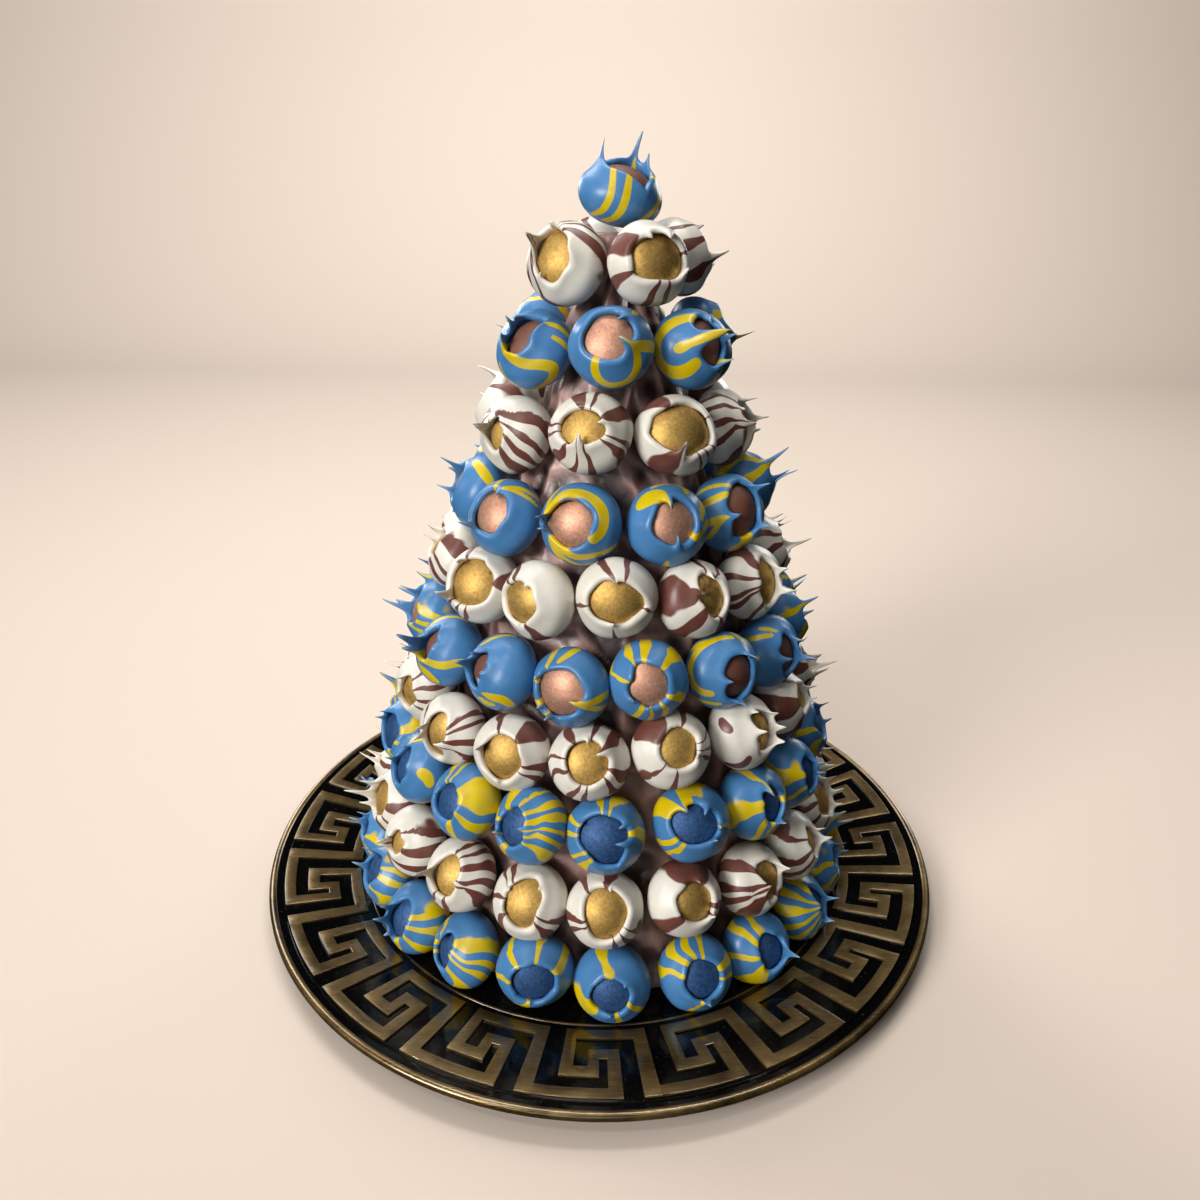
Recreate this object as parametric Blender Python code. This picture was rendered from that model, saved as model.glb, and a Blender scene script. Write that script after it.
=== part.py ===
"""Chocolate bonbon tower on its charger plate.

Ten rings of open-mouthed chocolate shells lean on a cloth-wrapped cone, one more shell
stands on its tip, and the whole tower rests on a shallow charger plate.
Units are metres, +Z is up, and the origin is the middle of the plate's underside.
"""
import math
import random

import bmesh
import bpy
from mathutils import Matrix, Vector

# The plate
PLATE_RADIUS = 0.165
PLATE_FOOT_RADIUS = 0.108    # the flat ring and floor that it stands on
PLATE_RISE = 0.0118          # height of the outer edge above the underside
PLATE_SKIN = 0.0020          # from the band's top to the underside at the edge
EDGE_WIDTH = 0.0052          # the rounded outer edge, with a groove inside it
GROOVE_DROP = 0.0012
STEP_RADIUS = 0.1200         # the low step that frames the well
STEP_TOP = 0.0056
STEP_WIDTH = 0.0032
WELL_RADIUS = 0.1155
WELL_TOP = 0.0045            # the flat floor that the tower stands on
PLATE_STEPS = 48

# The shells
SHELL_HEIGHT = 0.0298        # a shell's size up the cone
SHELL_DEPTH = 0.0240         # and along its own axis, from its back to its lip
SHELL_SIDES = 8
SHELL_FACES_UP = 24.0        # degrees that an opening looks above the horizon
FACING_SPREAD = 1.5          # degrees that a shell may differ from that
SPIN_SPREAD = 2.0            # and turn about its own axis
LEAN = 0.0141                # sideways lean of the tower, as a share of its height
TOP_SHELL_HEIGHT = 0.3178    # middle of the single shell on the tip
TOP_SHELL_WIDTH = 0.0330
TOP_SHELL_NOD = 10.0         # degrees towards the front

# The wrapped cone
CONE_STEPS = 24
CONE_FOOT_GAP = 0.0004       # between the cone and the plate
CONE_TIP_RADIUS = 0.0080
CONE_TIP_GAP = 0.0018        # between its tip and the back of the top shell
CONE_BACK_GAP = 0.0026       # between the cloth and the backs of the shells
PLEAT_DEPTH = 0.0008
SMOOTH_ANGLE = 30.0          # edges sharper than this stay sharp

# Each ring: radius and height of the shells' middles, the shells' width along the ring,
# the azimuth of its first shell from the front, the step between the first few,
# how many keep that step, and the count. The others share what is left of the circle.
RINGS = [
    dict(radius=0.0251, height=0.2947, width=0.0318, first=-55.0, step=82.0, stepped=3, count=4),
    dict(radius=0.0368, height=0.2641, width=0.0324, first=-59.0, step=55.0, stepped=4, count=6),
    dict(radius=0.0462, height=0.2324, width=0.0324, first=-97.0, step=42.7, stepped=5, count=8),
    dict(radius=0.0573, height=0.2015, width=0.0320, first=-80.0, step=33.8, stepped=6, count=10),
    dict(radius=0.0678, height=0.1727, width=0.0312, first=-78.2, step=27.1, stepped=7, count=13),
    dict(radius=0.0785, height=0.1428, width=0.0322, first=-79.3, step=23.0, stepped=8, count=16),
    dict(radius=0.0850, height=0.1127, width=0.0341, first=-71.0, step=22.5, stepped=8, count=16),
    dict(radius=0.0941, height=0.0836, width=0.0337, first=-77.9, step=19.85, stepped=9, count=18),
    dict(radius=0.1011, height=0.0519, width=0.0334, first=-72.3, step=18.3, stepped=10, count=20),
    dict(radius=0.1087, height=0.0199, width=0.0337, first=-82.5, step=17.25, stepped=11, count=21),
]
LAST_LOOSE_RING = 5          # below this ring the shells touch, and each ring is one piece
BLUE_RINGS = (2, 4, 6, 8, 10)

# A shell's outline, turned about its axis: share of its half width, share of its half depth.
# Inside the lip the mouth falls to the middle of the filling.
SHELL_PROFILE = [(0.58, -1.00), (1.00, -0.08), (0.60, 0.94)]
LIP_ROW = 2
FILLING_DEPTH = 0.40
SPIKE_LENGTHS = (0.0042, 0.0062, 0.0080)


def principled(name, color, roughness, metallic=0.0):
    material = bpy.data.materials.new(name)
    material.use_nodes = True
    shader = material.node_tree.nodes["Principled BSDF"]
    shader.inputs["Base Color"].default_value = (*color, 1)
    shader.inputs["Roughness"].default_value = roughness
    shader.inputs["Metallic"].default_value = metallic
    return material


def add_object(name, mesh, material):
    obj = bpy.data.objects.new(name, mesh)
    bpy.context.collection.objects.link(obj)
    mesh.materials.append(material)
    return obj


def skinned_rows(bm, rows):
    """Skin a list of vertex rings, first to last, and close the first with one face."""
    for lower, upper in zip(rows, rows[1:]):
        for i in range(len(lower)):
            j = (i + 1) % len(lower)
            bm.faces.new((lower[i], lower[j], upper[j], upper[i]))
    bm.faces.new(list(reversed(rows[0])))


def turned_mesh(name, profile, steps, pleat=0.0):
    """A solid turned about Z from (radius, height) pairs that run from the foot to the top."""
    bm = bmesh.new()
    rows = []
    for radius, height in profile:
        row = []
        for i in range(steps):
            angle = math.tau * i / steps
            r = radius + pleat * (-1) ** i
            row.append(bm.verts.new((r * math.cos(angle), r * math.sin(angle), height)))
        rows.append(row)
    skinned_rows(bm, rows)
    bm.faces.new(rows[-1])
    mesh = bpy.data.meshes.new(name)
    bm.to_mesh(mesh)
    bm.free()
    mesh.shade_smooth()
    mesh.set_sharp_from_angle(angle=math.radians(SMOOTH_ANGLE))
    return mesh


def add_shell(bm, matrix, width, height, rng):
    """One open shell: a squashed ball with a mouth, a recessed filling and pulled spikes."""
    half = (width / 2, height / 2, SHELL_DEPTH / 2)
    spikes = dict(zip(rng.sample(range(SHELL_SIDES), len(SPIKE_LENGTHS)), SPIKE_LENGTHS))
    rows = []
    for row_index, (across, along) in enumerate(SHELL_PROFILE):
        row = []
        for i in range(SHELL_SIDES):
            angle = math.tau * i / SHELL_SIDES
            point = Vector((across * half[0] * math.cos(angle),
                            across * half[1] * math.sin(angle),
                            along * half[2]))
            if row_index == LIP_ROW:
                point.z += spikes.get(i, 0.0)
            row.append(bm.verts.new(matrix @ point))
        rows.append(row)
    skinned_rows(bm, rows)
    lip = rows[-1]
    filling = bm.verts.new(matrix @ Vector((0.0, 0.0, FILLING_DEPTH * half[2])))
    for i in range(SHELL_SIDES):
        bm.faces.new((lip[i], lip[(i + 1) % SHELL_SIDES], filling))


def shell_matrix(ring, azimuth, rng):
    """Stands a shell on the ring: local Z looks out and up, local X runs along the ring."""
    angle = math.radians(azimuth)
    middle = Vector((LEAN * ring["height"] + ring["radius"] * math.sin(angle),
                     -ring["radius"] * math.cos(angle), ring["height"]))
    up = SHELL_FACES_UP + rng.uniform(-FACING_SPREAD, FACING_SPREAD)
    turn = Matrix.Rotation(angle, 4, "Z")
    tip = Matrix.Rotation(math.radians(90.0 - up), 4, "X")
    spin = Matrix.Rotation(math.radians(rng.uniform(-SPIN_SPREAD, SPIN_SPREAD)), 4, "Z")
    return Matrix.Translation(middle) @ turn @ tip @ spin


def ring_azimuths(ring):
    """The first shells keep the ring's step, and the others share the rest of the circle."""
    stepped = [ring["first"] + ring["step"] * i for i in range(ring["stepped"])]
    others = ring["count"] - ring["stepped"]
    rest = 360.0 - ring["step"] * (ring["stepped"] - 1)
    share = rest / (others + 1)
    return stepped + [stepped[-1] + share * (i + 1) for i in range(others)]


def shells_object(name, ring, azimuths, material, rng):
    bm = bmesh.new()
    for azimuth in azimuths:
        add_shell(bm, shell_matrix(ring, azimuth, rng), ring["width"], SHELL_HEIGHT, rng)
    mesh = bpy.data.meshes.new(name)
    bm.to_mesh(mesh)
    bm.free()
    return add_object(name, mesh, material)


def build_plate(material):
    """Flat foot, sloping band with a raised outer edge, a low step round the well, the well."""
    groove_radius = PLATE_RADIUS - EDGE_WIDTH
    profile = [
        (PLATE_FOOT_RADIUS, 0.0),
        (PLATE_RADIUS, PLATE_RISE - PLATE_SKIN),
        (PLATE_RADIUS - EDGE_WIDTH / 6, PLATE_RISE),
        (groove_radius + EDGE_WIDTH / 3, PLATE_RISE),
        (groove_radius, PLATE_RISE - GROOVE_DROP),
        (STEP_RADIUS, STEP_TOP - GROOVE_DROP / 2),
        (STEP_RADIUS - STEP_WIDTH / 4, STEP_TOP),
        (STEP_RADIUS - STEP_WIDTH, STEP_TOP),
        (WELL_RADIUS, WELL_TOP),
    ]
    add_object("plate", turned_mesh("plate", profile, PLATE_STEPS), material)


def build_cone(material):
    """The wrapped cone follows the backs of the rings, from the plate's floor to its tip."""
    facing = math.radians(SHELL_FACES_UP)
    back = SHELL_DEPTH / 2 * math.cos(facing) + CONE_BACK_GAP
    drop = SHELL_DEPTH / 2 * math.sin(facing)
    foot = WELL_TOP + CONE_FOOT_GAP
    profile = [(ring["radius"] - back, ring["height"] - drop) for ring in reversed(RINGS)]
    tip = TOP_SHELL_HEIGHT - SHELL_DEPTH / 2 - CONE_TIP_GAP
    profile = [(profile[0][0], foot)] + profile + [(CONE_TIP_RADIUS, tip)]
    mesh = turned_mesh("wrapped_cone", profile, CONE_STEPS, PLEAT_DEPTH)
    for vertex in mesh.vertices:
        vertex.co.x += LEAN * vertex.co.z
    add_object("wrapped_cone", mesh, material)


def build_top_shell(material, rng):
    bm = bmesh.new()
    place = Matrix.Translation((LEAN * TOP_SHELL_HEIGHT, 0.0, TOP_SHELL_HEIGHT))
    nod = Matrix.Rotation(math.radians(TOP_SHELL_NOD), 4, "X")
    add_shell(bm, place @ nod, TOP_SHELL_WIDTH, TOP_SHELL_WIDTH, rng)
    mesh = bpy.data.meshes.new("bonbon_top")
    bm.to_mesh(mesh)
    bm.free()
    add_object("bonbon_top", mesh, material)


def build_loose_ring(number, ring, material, rng):
    """Every shell of an upper ring stands clear of its neighbours and is a piece of its own."""
    for i, azimuth in enumerate(ring_azimuths(ring)):
        shells_object(f"bonbon_{number:02d}_{i + 1:02d}", ring, [azimuth], material, rng)


def build_touching_ring(number, ring, material, rng):
    """A lower ring's shells press on each other all the way round and are united into one.

    Shells of one group never touch: every second one, and the last of an odd count alone.
    """
    azimuths = ring_azimuths(ring)
    groups = [azimuths[0::2], azimuths[1::2]]
    if len(azimuths) % 2 == 1:
        groups = [azimuths[0:-1:2], azimuths[1:-1:2], azimuths[-1:]]
    whole = shells_object(f"bonbon_ring_{number:02d}", ring, groups[0], material, rng)
    for i, group in enumerate(groups[1:]):
        other = shells_object(f"joined_{number:02d}_{i + 1}", ring, group, material, rng)
        other.hide_render = True
        other.display_type = "WIRE"
        union = whole.modifiers.new(f"union_{i + 1}", "BOOLEAN")
        union.operation = "UNION"
        union.solver = "EXACT"
        union.object = other


def main():
    for obj in list(bpy.data.objects):
        bpy.data.objects.remove(obj, do_unlink=True)
    rng = random.Random(11)
    blue = principled("blue_chocolate", (0.05, 0.19, 0.45), 0.32)
    white = principled("white_chocolate", (0.72, 0.69, 0.60), 0.34)
    build_plate(principled("black_gloss_plate", (0.006, 0.006, 0.007), 0.12))
    build_cone(principled("mauve_satin", (0.22, 0.12, 0.10), 0.38))
    build_top_shell(blue, rng)
    for number, ring in enumerate(RINGS, start=1):
        material = blue if number in BLUE_RINGS else white
        build = build_loose_ring if number <= LAST_LOOSE_RING else build_touching_ring
        build(number, ring, material, rng)


main()
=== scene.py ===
import math
import random

import bmesh
import bpy
import numpy as np
from mathutils import Matrix, Vector, noise


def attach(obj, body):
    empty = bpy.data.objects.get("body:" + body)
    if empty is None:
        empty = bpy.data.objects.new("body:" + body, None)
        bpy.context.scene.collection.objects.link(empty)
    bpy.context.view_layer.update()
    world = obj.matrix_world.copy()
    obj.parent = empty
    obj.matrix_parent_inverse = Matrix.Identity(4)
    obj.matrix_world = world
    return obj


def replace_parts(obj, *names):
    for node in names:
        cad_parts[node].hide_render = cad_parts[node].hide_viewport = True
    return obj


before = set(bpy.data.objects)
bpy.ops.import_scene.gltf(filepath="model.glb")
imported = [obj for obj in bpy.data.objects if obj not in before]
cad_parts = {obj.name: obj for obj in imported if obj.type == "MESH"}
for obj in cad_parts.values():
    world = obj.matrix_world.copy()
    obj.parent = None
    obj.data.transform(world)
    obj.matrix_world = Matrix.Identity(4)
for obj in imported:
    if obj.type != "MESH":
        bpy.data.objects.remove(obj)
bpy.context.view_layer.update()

mm = 0.001      # sizes below are millimetres and angles degrees unless a note says otherwise
noise.seed_set(3)       # vector noise starts from the clock unless it is given a seed


def hexToLinear(text):
    values = [int(text[i:i + 2], 16) / 255 for i in (1, 3, 5)]
    linear = [v / 12.92 if v <= 0.04045 else ((v + 0.055) / 1.055) ** 2.4 for v in values]
    return (*linear, 1.0)


def newMaterial(name):
    material = bpy.data.materials.new(name)
    material.use_nodes = True
    tree = material.node_tree
    return material, tree, tree.nodes["Principled BSDF"]


def addNode(tree, kind, settings=None, links=None):
    # settings name a property or an input, links join an input to another node's output
    node = tree.nodes.new(kind)
    for key, value in (settings or {}).items():
        if isinstance(key, str) and hasattr(node, key):
            setattr(node, key, value)
        else:
            node.inputs[key].default_value = value
    for key, source in (links or {}).items():
        tree.links.new(source, node.inputs[key])
    return node


def linkInto(tree, source, shader, socket):
    tree.links.new(source, shader.inputs[socket])


def newMesh(name, vertices, faces):
    mesh = bpy.data.meshes.new(name)
    mesh.from_pydata(vertices, [], faces)
    return mesh


def smoothPiece(name, mesh, material, crisp=None):
    # one smooth piece on the table; edges that turn more than crisp degrees stay sharp
    mesh.materials.append(material)
    mesh.shade_smooth()
    if crisp is not None:
        mesh.set_sharp_from_angle(angle=math.radians(crisp))
    obj = bpy.data.objects.new(name, mesh)
    bpy.context.collection.objects.link(obj)
    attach(obj, "root")
    return obj


def gridFaces(rows, cols):
    # quads of a grid that closes on itself sideways
    r, c = np.meshgrid(np.arange(rows - 1), np.arange(cols), indexing="ij")
    a = r * cols + c
    b = r * cols + (c + 1) % cols
    return np.stack([a, b, b + cols, a + cols], axis=-1).reshape(-1, 4).tolist()


def endFaces(rows, cols):
    # one flat face over the first row and one over the last
    last = (rows - 1) * cols
    return [tuple(reversed(range(cols))), tuple(last + i for i in range(cols))]


def pointValues(mesh, name, kind, values):
    layer = mesh.attributes.new(name, kind, "POINT")
    field = "value" if kind == "FLOAT" else "vector"
    layer.data.foreach_set(field, np.asarray(values, dtype=np.float32).ravel())


def perMetre(size):
    # texture scale that gives a pattern cells of this many millimetres
    return 1000.0 / size


shellLook = dict(
    # the shell, the streaks poured through it, its pulled tips, the roughness of its dullest
    # places, and how well the streaks cover where they ran thin
    blue=("#487eb0", "#d9bc04", "#a4bcc6", 0.44, 0.90),
    ivory=("#e5ded0", "#6e3f34", "#e9e2c6", 0.46, 0.96),
    smoothest=0.26,         # roughness of the glossiest places
    drift=0.12,             # how far the edges of the streaks wander, in radians round the shell
    driftSize=9.091,        # the wave of that wander
    edge=0.13,              # softness of an edge, about a third of a millimetre
    bloomSize=4.762,        # cocoa butter blooms in faint patches 5 mm wide
    bloomRange=(0.90, 1.08),
    dimpleSize=1.613)       # faint dimples of the set surface, 1.6 mm apart


def pouredChocolate(name, colours):
    # White chocolate tinted with cocoa-butter colour, a second colour poured through it while
    # soft, then set against air: even satin gloss, crisp streaks, thin pulled tips that go pale.
    ground, streak, tip, roughest, thinnest = colours
    material, tree, shader = newMaterial(name)
    flow = addNode(tree, "ShaderNodeAttribute", {"attribute_name": "flow"})
    across = addNode(tree, "ShaderNodeSeparateXYZ", links={0: flow.outputs["Vector"]})
    pour = addNode(tree, "ShaderNodeAttribute", {"attribute_name": "pour"})
    poured = addNode(tree, "ShaderNodeSeparateXYZ", links={0: pour.outputs["Vector"]})
    place = addNode(tree, "ShaderNodeTexCoord")
    # the edges of the soft chocolate wander
    wander = addNode(tree, "ShaderNodeTexNoise",
                     {"Scale": perMetre(shellLook["driftSize"]), "Detail": 1.0, "Roughness": 0.3},
                     {"Vector": place.outputs["Object"]})
    sway = addNode(tree, "ShaderNodeMapRange",
                   {"To Min": -shellLook["drift"], "To Max": shellLook["drift"]},
                   {"Value": wander.outputs["Fac"]})
    around = addNode(tree, "ShaderNodeMath", {"operation": "ARCTAN2"},
                     {0: across.outputs["X"], 1: across.outputs["Y"]})
    shifted = addNode(tree, "ShaderNodeMath", {"operation": "ADD"},
                      {0: sway.outputs["Result"], 1: around.outputs[0]})
    phase = addNode(tree, "ShaderNodeMath", {"operation": "MULTIPLY_ADD"},
                    {0: shifted.outputs[0], 1: across.outputs["Z"], 2: poured.outputs["X"]})
    wave = addNode(tree, "ShaderNodeMath", {"operation": "COSINE"}, {0: phase.outputs[0]})
    streaks = addNode(tree, "ShaderNodeMath", {"operation": "SUBTRACT"},
                      {0: wave.outputs[0], 1: poured.outputs["Y"]})
    either = addNode(tree, "ShaderNodeMath", {"operation": "MAXIMUM"},
                     {0: streaks.outputs[0], 1: poured.outputs["Z"]})
    mask = addNode(tree, "ShaderNodeMapRange",
                   {"interpolation_type": "SMOOTHSTEP", "From Min": -shellLook["edge"],
                    "From Max": shellLook["edge"]}, {"Value": either.outputs[0]})
    # where the second colour ran thin the first one shows through it
    cover = addNode(tree, "ShaderNodeMapRange",
                    {"From Min": 0.3, "From Max": 0.55, "To Min": thinnest, "To Max": 1.0},
                    {"Value": wander.outputs["Fac"]})
    laid = addNode(tree, "ShaderNodeMath", {"operation": "MULTIPLY"},
                   {0: mask.outputs["Result"], 1: cover.outputs["Result"]})
    bloom = addNode(tree, "ShaderNodeTexNoise", {"Scale": perMetre(shellLook["bloomSize"]), "Detail": 3.0},
                    {"Vector": place.outputs["Object"]})
    darkest, lightest = shellLook["bloomRange"]
    shade = addNode(tree, "ShaderNodeMapRange", {"To Min": darkest, "To Max": lightest},
                    {"Value": bloom.outputs["Fac"]})
    colour = addNode(tree, "ShaderNodeMix",
                     {"data_type": "RGBA", 6: hexToLinear(ground), 7: hexToLinear(streak)},
                     {0: laid.outputs[0]})
    # a pulled tip is thin enough for light to pass, and looks paler
    thin = addNode(tree, "ShaderNodeAttribute", {"attribute_name": "thin"})
    palest = addNode(tree, "ShaderNodeMapRange",
                     {"From Min": 0.30, "From Max": 0.90, "To Max": 0.50},
                     {"Value": thin.outputs["Fac"]})
    tipped = addNode(tree, "ShaderNodeMix", {"data_type": "RGBA", 7: hexToLinear(tip)},
                     {0: palest.outputs["Result"], 6: colour.outputs[2]})
    toned = addNode(tree, "ShaderNodeVectorMath", {"operation": "SCALE"},
                    {0: tipped.outputs[2], "Scale": shade.outputs["Result"]})
    linkInto(tree, toned.outputs[0], shader, "Base Color")
    rough = addNode(tree, "ShaderNodeMapRange", {"To Min": shellLook["smoothest"], "To Max": roughest},
                    {"Value": bloom.outputs["Fac"]})
    linkInto(tree, rough.outputs["Result"], shader, "Roughness")
    # faint dimples of the surface that set against air
    dimple = addNode(tree, "ShaderNodeTexNoise",
                     {"Scale": perMetre(shellLook["dimpleSize"]), "Detail": 2.0},
                     {"Vector": place.outputs["Object"]})
    relief = addNode(tree, "ShaderNodeBump", {"Strength": 0.12, "Distance": 0.0003},
                     {"Height": dimple.outputs["Fac"]})
    linkInto(tree, relief.outputs["Normal"], shader, "Normal")
    shader.inputs["IOR"].default_value = 1.46
    shader.inputs["Subsurface Weight"].default_value = 0.08
    shader.inputs["Subsurface Radius"].default_value = (0.0012, 0.0009, 0.0006)
    return material


fillingLook = dict(
    # the dust where it is bright and where it is dull, the bare chocolate, which also paints whole fillings as
    # painted shade, and how metallic
    gold=("#dab465", "#9a723a", "#5a3a1c", 0.80),
    copper=("#e0ae92", "#ac765e", "#5a2a1c", 0.80),
    navy=("#3a6499", "#122340", "#0b1424", 0.45),
    grainSize=0.2632,       # dust grains are 0.05 mm, drawn five times coarser so that they show
    strokeSize=1.111,       # the bristles' marks are 1.1 mm wide
    strokeAlong=0.22,       # and four and a half times as long
    pitSize=2.326)          # specks where the dust has come off


def lustreDusted(name, colours):
    # Chocolate brushed with edible lustre dust: fine metallic grain with faint brush marks,
    # worn through to the darker chocolate along the rim and in a few small specks. Fillings that
    # lie in shade get the same dark colour all over, as painted shade.
    bright, dull, bareAndShade, metallic = colours
    material, tree, shader = newMaterial(name)
    place = addNode(tree, "ShaderNodeTexCoord")
    # this attribute holds the rim wear and, on fillings that lie in shade, painted shade
    rimAndShade = addNode(tree, "ShaderNodeAttribute", {"attribute_name": "rimAndShade"})
    grain = addNode(tree, "ShaderNodeTexNoise",
                    {"Scale": perMetre(fillingLook["grainSize"]), "Detail": 2.0, "Roughness": 0.7},
                    {"Vector": place.outputs["Object"]})
    brushed = addNode(tree, "ShaderNodeMapping",
                      {"Rotation": (0.5, 0.9, 0.4), "Scale": (1.0, fillingLook["strokeAlong"], 1.0)},
                      {"Vector": place.outputs["Object"]})
    strokes = addNode(tree, "ShaderNodeTexNoise",
                      {"Scale": perMetre(fillingLook["strokeSize"]), "Detail": 4.0, "Roughness": 0.6},
                      {"Vector": brushed.outputs[0]})
    coat = addNode(tree, "ShaderNodeMath", {"operation": "ADD"},
                   {0: strokes.outputs["Fac"], 1: grain.outputs["Fac"]})
    tone = addNode(tree, "ShaderNodeMapRange", {"From Min": 0.62, "From Max": 1.25},
                   {"Value": coat.outputs[0]})
    dusted = addNode(tree, "ShaderNodeMix",
                     {"data_type": "RGBA", 6: hexToLinear(dull), 7: hexToLinear(bright)},
                     {0: tone.outputs["Result"]})
    pits = addNode(tree, "ShaderNodeTexNoise", {"Scale": perMetre(fillingLook["pitSize"]), "Detail": 2.0},
                   {"Vector": place.outputs["Object"]})
    wornRimAndShade = addNode(tree, "ShaderNodeMath", {"operation": "MULTIPLY_ADD", 1: 1.0},
                      {0: pits.outputs["Fac"], 2: rimAndShade.outputs["Fac"]})
    # dark chocolate where the dust is worn, and painted shade where a filling lies in shade
    wornAndShaded = addNode(tree, "ShaderNodeMapRange",
                   {"From Min": 1.48, "From Max": 1.62, "To Max": 0.85},
                   {"Value": wornRimAndShade.outputs[0]})
    colour = addNode(tree, "ShaderNodeMix", {"data_type": "RGBA", 7: hexToLinear(bareAndShade)},
                     {0: wornAndShaded.outputs["Result"], 6: dusted.outputs[2]})
    linkInto(tree, colour.outputs[2], shader, "Base Color")
    metal = addNode(tree, "ShaderNodeMapRange", {"To Min": metallic, "To Max": 0.0},
                    {"Value": wornAndShaded.outputs["Result"]})
    linkInto(tree, metal.outputs["Result"], shader, "Metallic")
    rough = addNode(tree, "ShaderNodeMapRange", {"To Min": 0.48, "To Max": 0.66},
                    {"Value": grain.outputs["Fac"]})
    linkInto(tree, rough.outputs["Result"], shader, "Roughness")
    relief = addNode(tree, "ShaderNodeBump", {"Strength": 0.14, "Distance": 0.0002},
                     {"Height": coat.outputs[0]})
    linkInto(tree, relief.outputs["Normal"], shader, "Normal")
    return material


pouredBlue = pouredChocolate("pouredBlueChocolate", shellLook["blue"])
pouredIvory = pouredChocolate("pouredIvoryChocolate", shellLook["ivory"])
goldLustre = lustreDusted("lustreDustedGold", fillingLook["gold"])
copperLustre = lustreDusted("lustreDustedCopper", fillingLook["copper"])
navyLustre = lustreDusted("lustreDustedNavy", fillingLook["navy"])
print("chocolate and lustre dust mixed")


shellForm = dict(
    height=32.0,            # up the cone; the width comes with each ring
    front=13.0, back=11.6,  # half depths, before and behind the widest place
    halves=(16.0, 16.0, 12.4), skin=14.5,   # rounded half sizes and mean radius for the pour
    mouthWobble=0.16,       # share by which the mouth strays from an oval
    mouthLeast=1.6,         # radius that no part of the mouth goes under
    lip=1.7, lipSwing=0.55, lipTurn=200,    # radius of the rolled lip, its variation, its roll
    lipRise=0.9,            # how far the surface swells up to it, past a shallow valley
    lipWave=1.4,            # the lip stands up to half of this higher or lower than an oval
    lump=0.045, lumpPace=0.09,              # hand-dipped shells are lumpy over a third of their width
    fillingTop=10.7, fillingRadius=13.6,    # the filled core is a dome this high and wide
    fillingBump=0.22, fillingReach=0.85,    # its bumps, and how far it goes under the lip, in lip radii
    floorDrop=2.4, plateGap=0.3,
    columns=72, outerRows=20, lipRows=8, innerRows=2, fillingRows=7, fillingColumns=48,
    bandFine=1.45)          # shells with drawn bands get this much finer mesh

spikeForm = dict(
    root=0.60, rootPerReach=0.018, taper=2.8,   # radius at the root and how sharply it narrows
    foot=0.18, footReach=2.2,                   # share of the pull that spreads along the lip
    setOff=0.25, sway=0.18,                     # how it leaves the lip and bends aside, radians
    gatherOff=36.0, gather=0.12, gatherReach=0.26,  # the pour is drawn in at its root
    crowding=5.0, crowdWidth=0.14)              # finer mesh over so many radians round a spike

# Rings from the top, as they stand on the cone: radius and height of the shells' middles,
# shell width, azimuth of the first shell and the step to the next in degrees from the front,
# how many keep the step, and how many there are.
rings = [
    dict(radius=25.1, height=294.7, width=32.6, first=-55.0, step=82.0, stepped=3, count=4),
    dict(radius=36.8, height=264.1, width=33.0, first=-59.0, step=55.0, stepped=4, count=6),
    dict(radius=46.2, height=232.4, width=33.0, first=-97.0, step=42.7, stepped=5, count=8),
    dict(radius=57.3, height=201.5, width=32.8, first=-80.0, step=33.8, stepped=6, count=10),
    dict(radius=67.8, height=172.7, width=31.9, first=-78.2, step=27.1, stepped=7, count=13),
    dict(radius=78.5, height=142.8, width=31.6, first=-79.3, step=23.0, stepped=8, count=16),
    dict(radius=85.0, height=112.7, width=32.4, first=-71.0, step=22.5, stepped=8, count=16),
    dict(radius=94.1, height=83.6, width=32.1, first=-77.9, step=19.85, stepped=9, count=18),
    dict(radius=101.1, height=51.9, width=31.9, first=-72.3, step=18.3, stepped=10, count=20),
    dict(radius=108.7, height=19.9, width=32.2, first=-82.5, step=17.25, stepped=11, count=21),
]
lean = 0.0141               # the tower leans to the right by this share of its height
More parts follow.
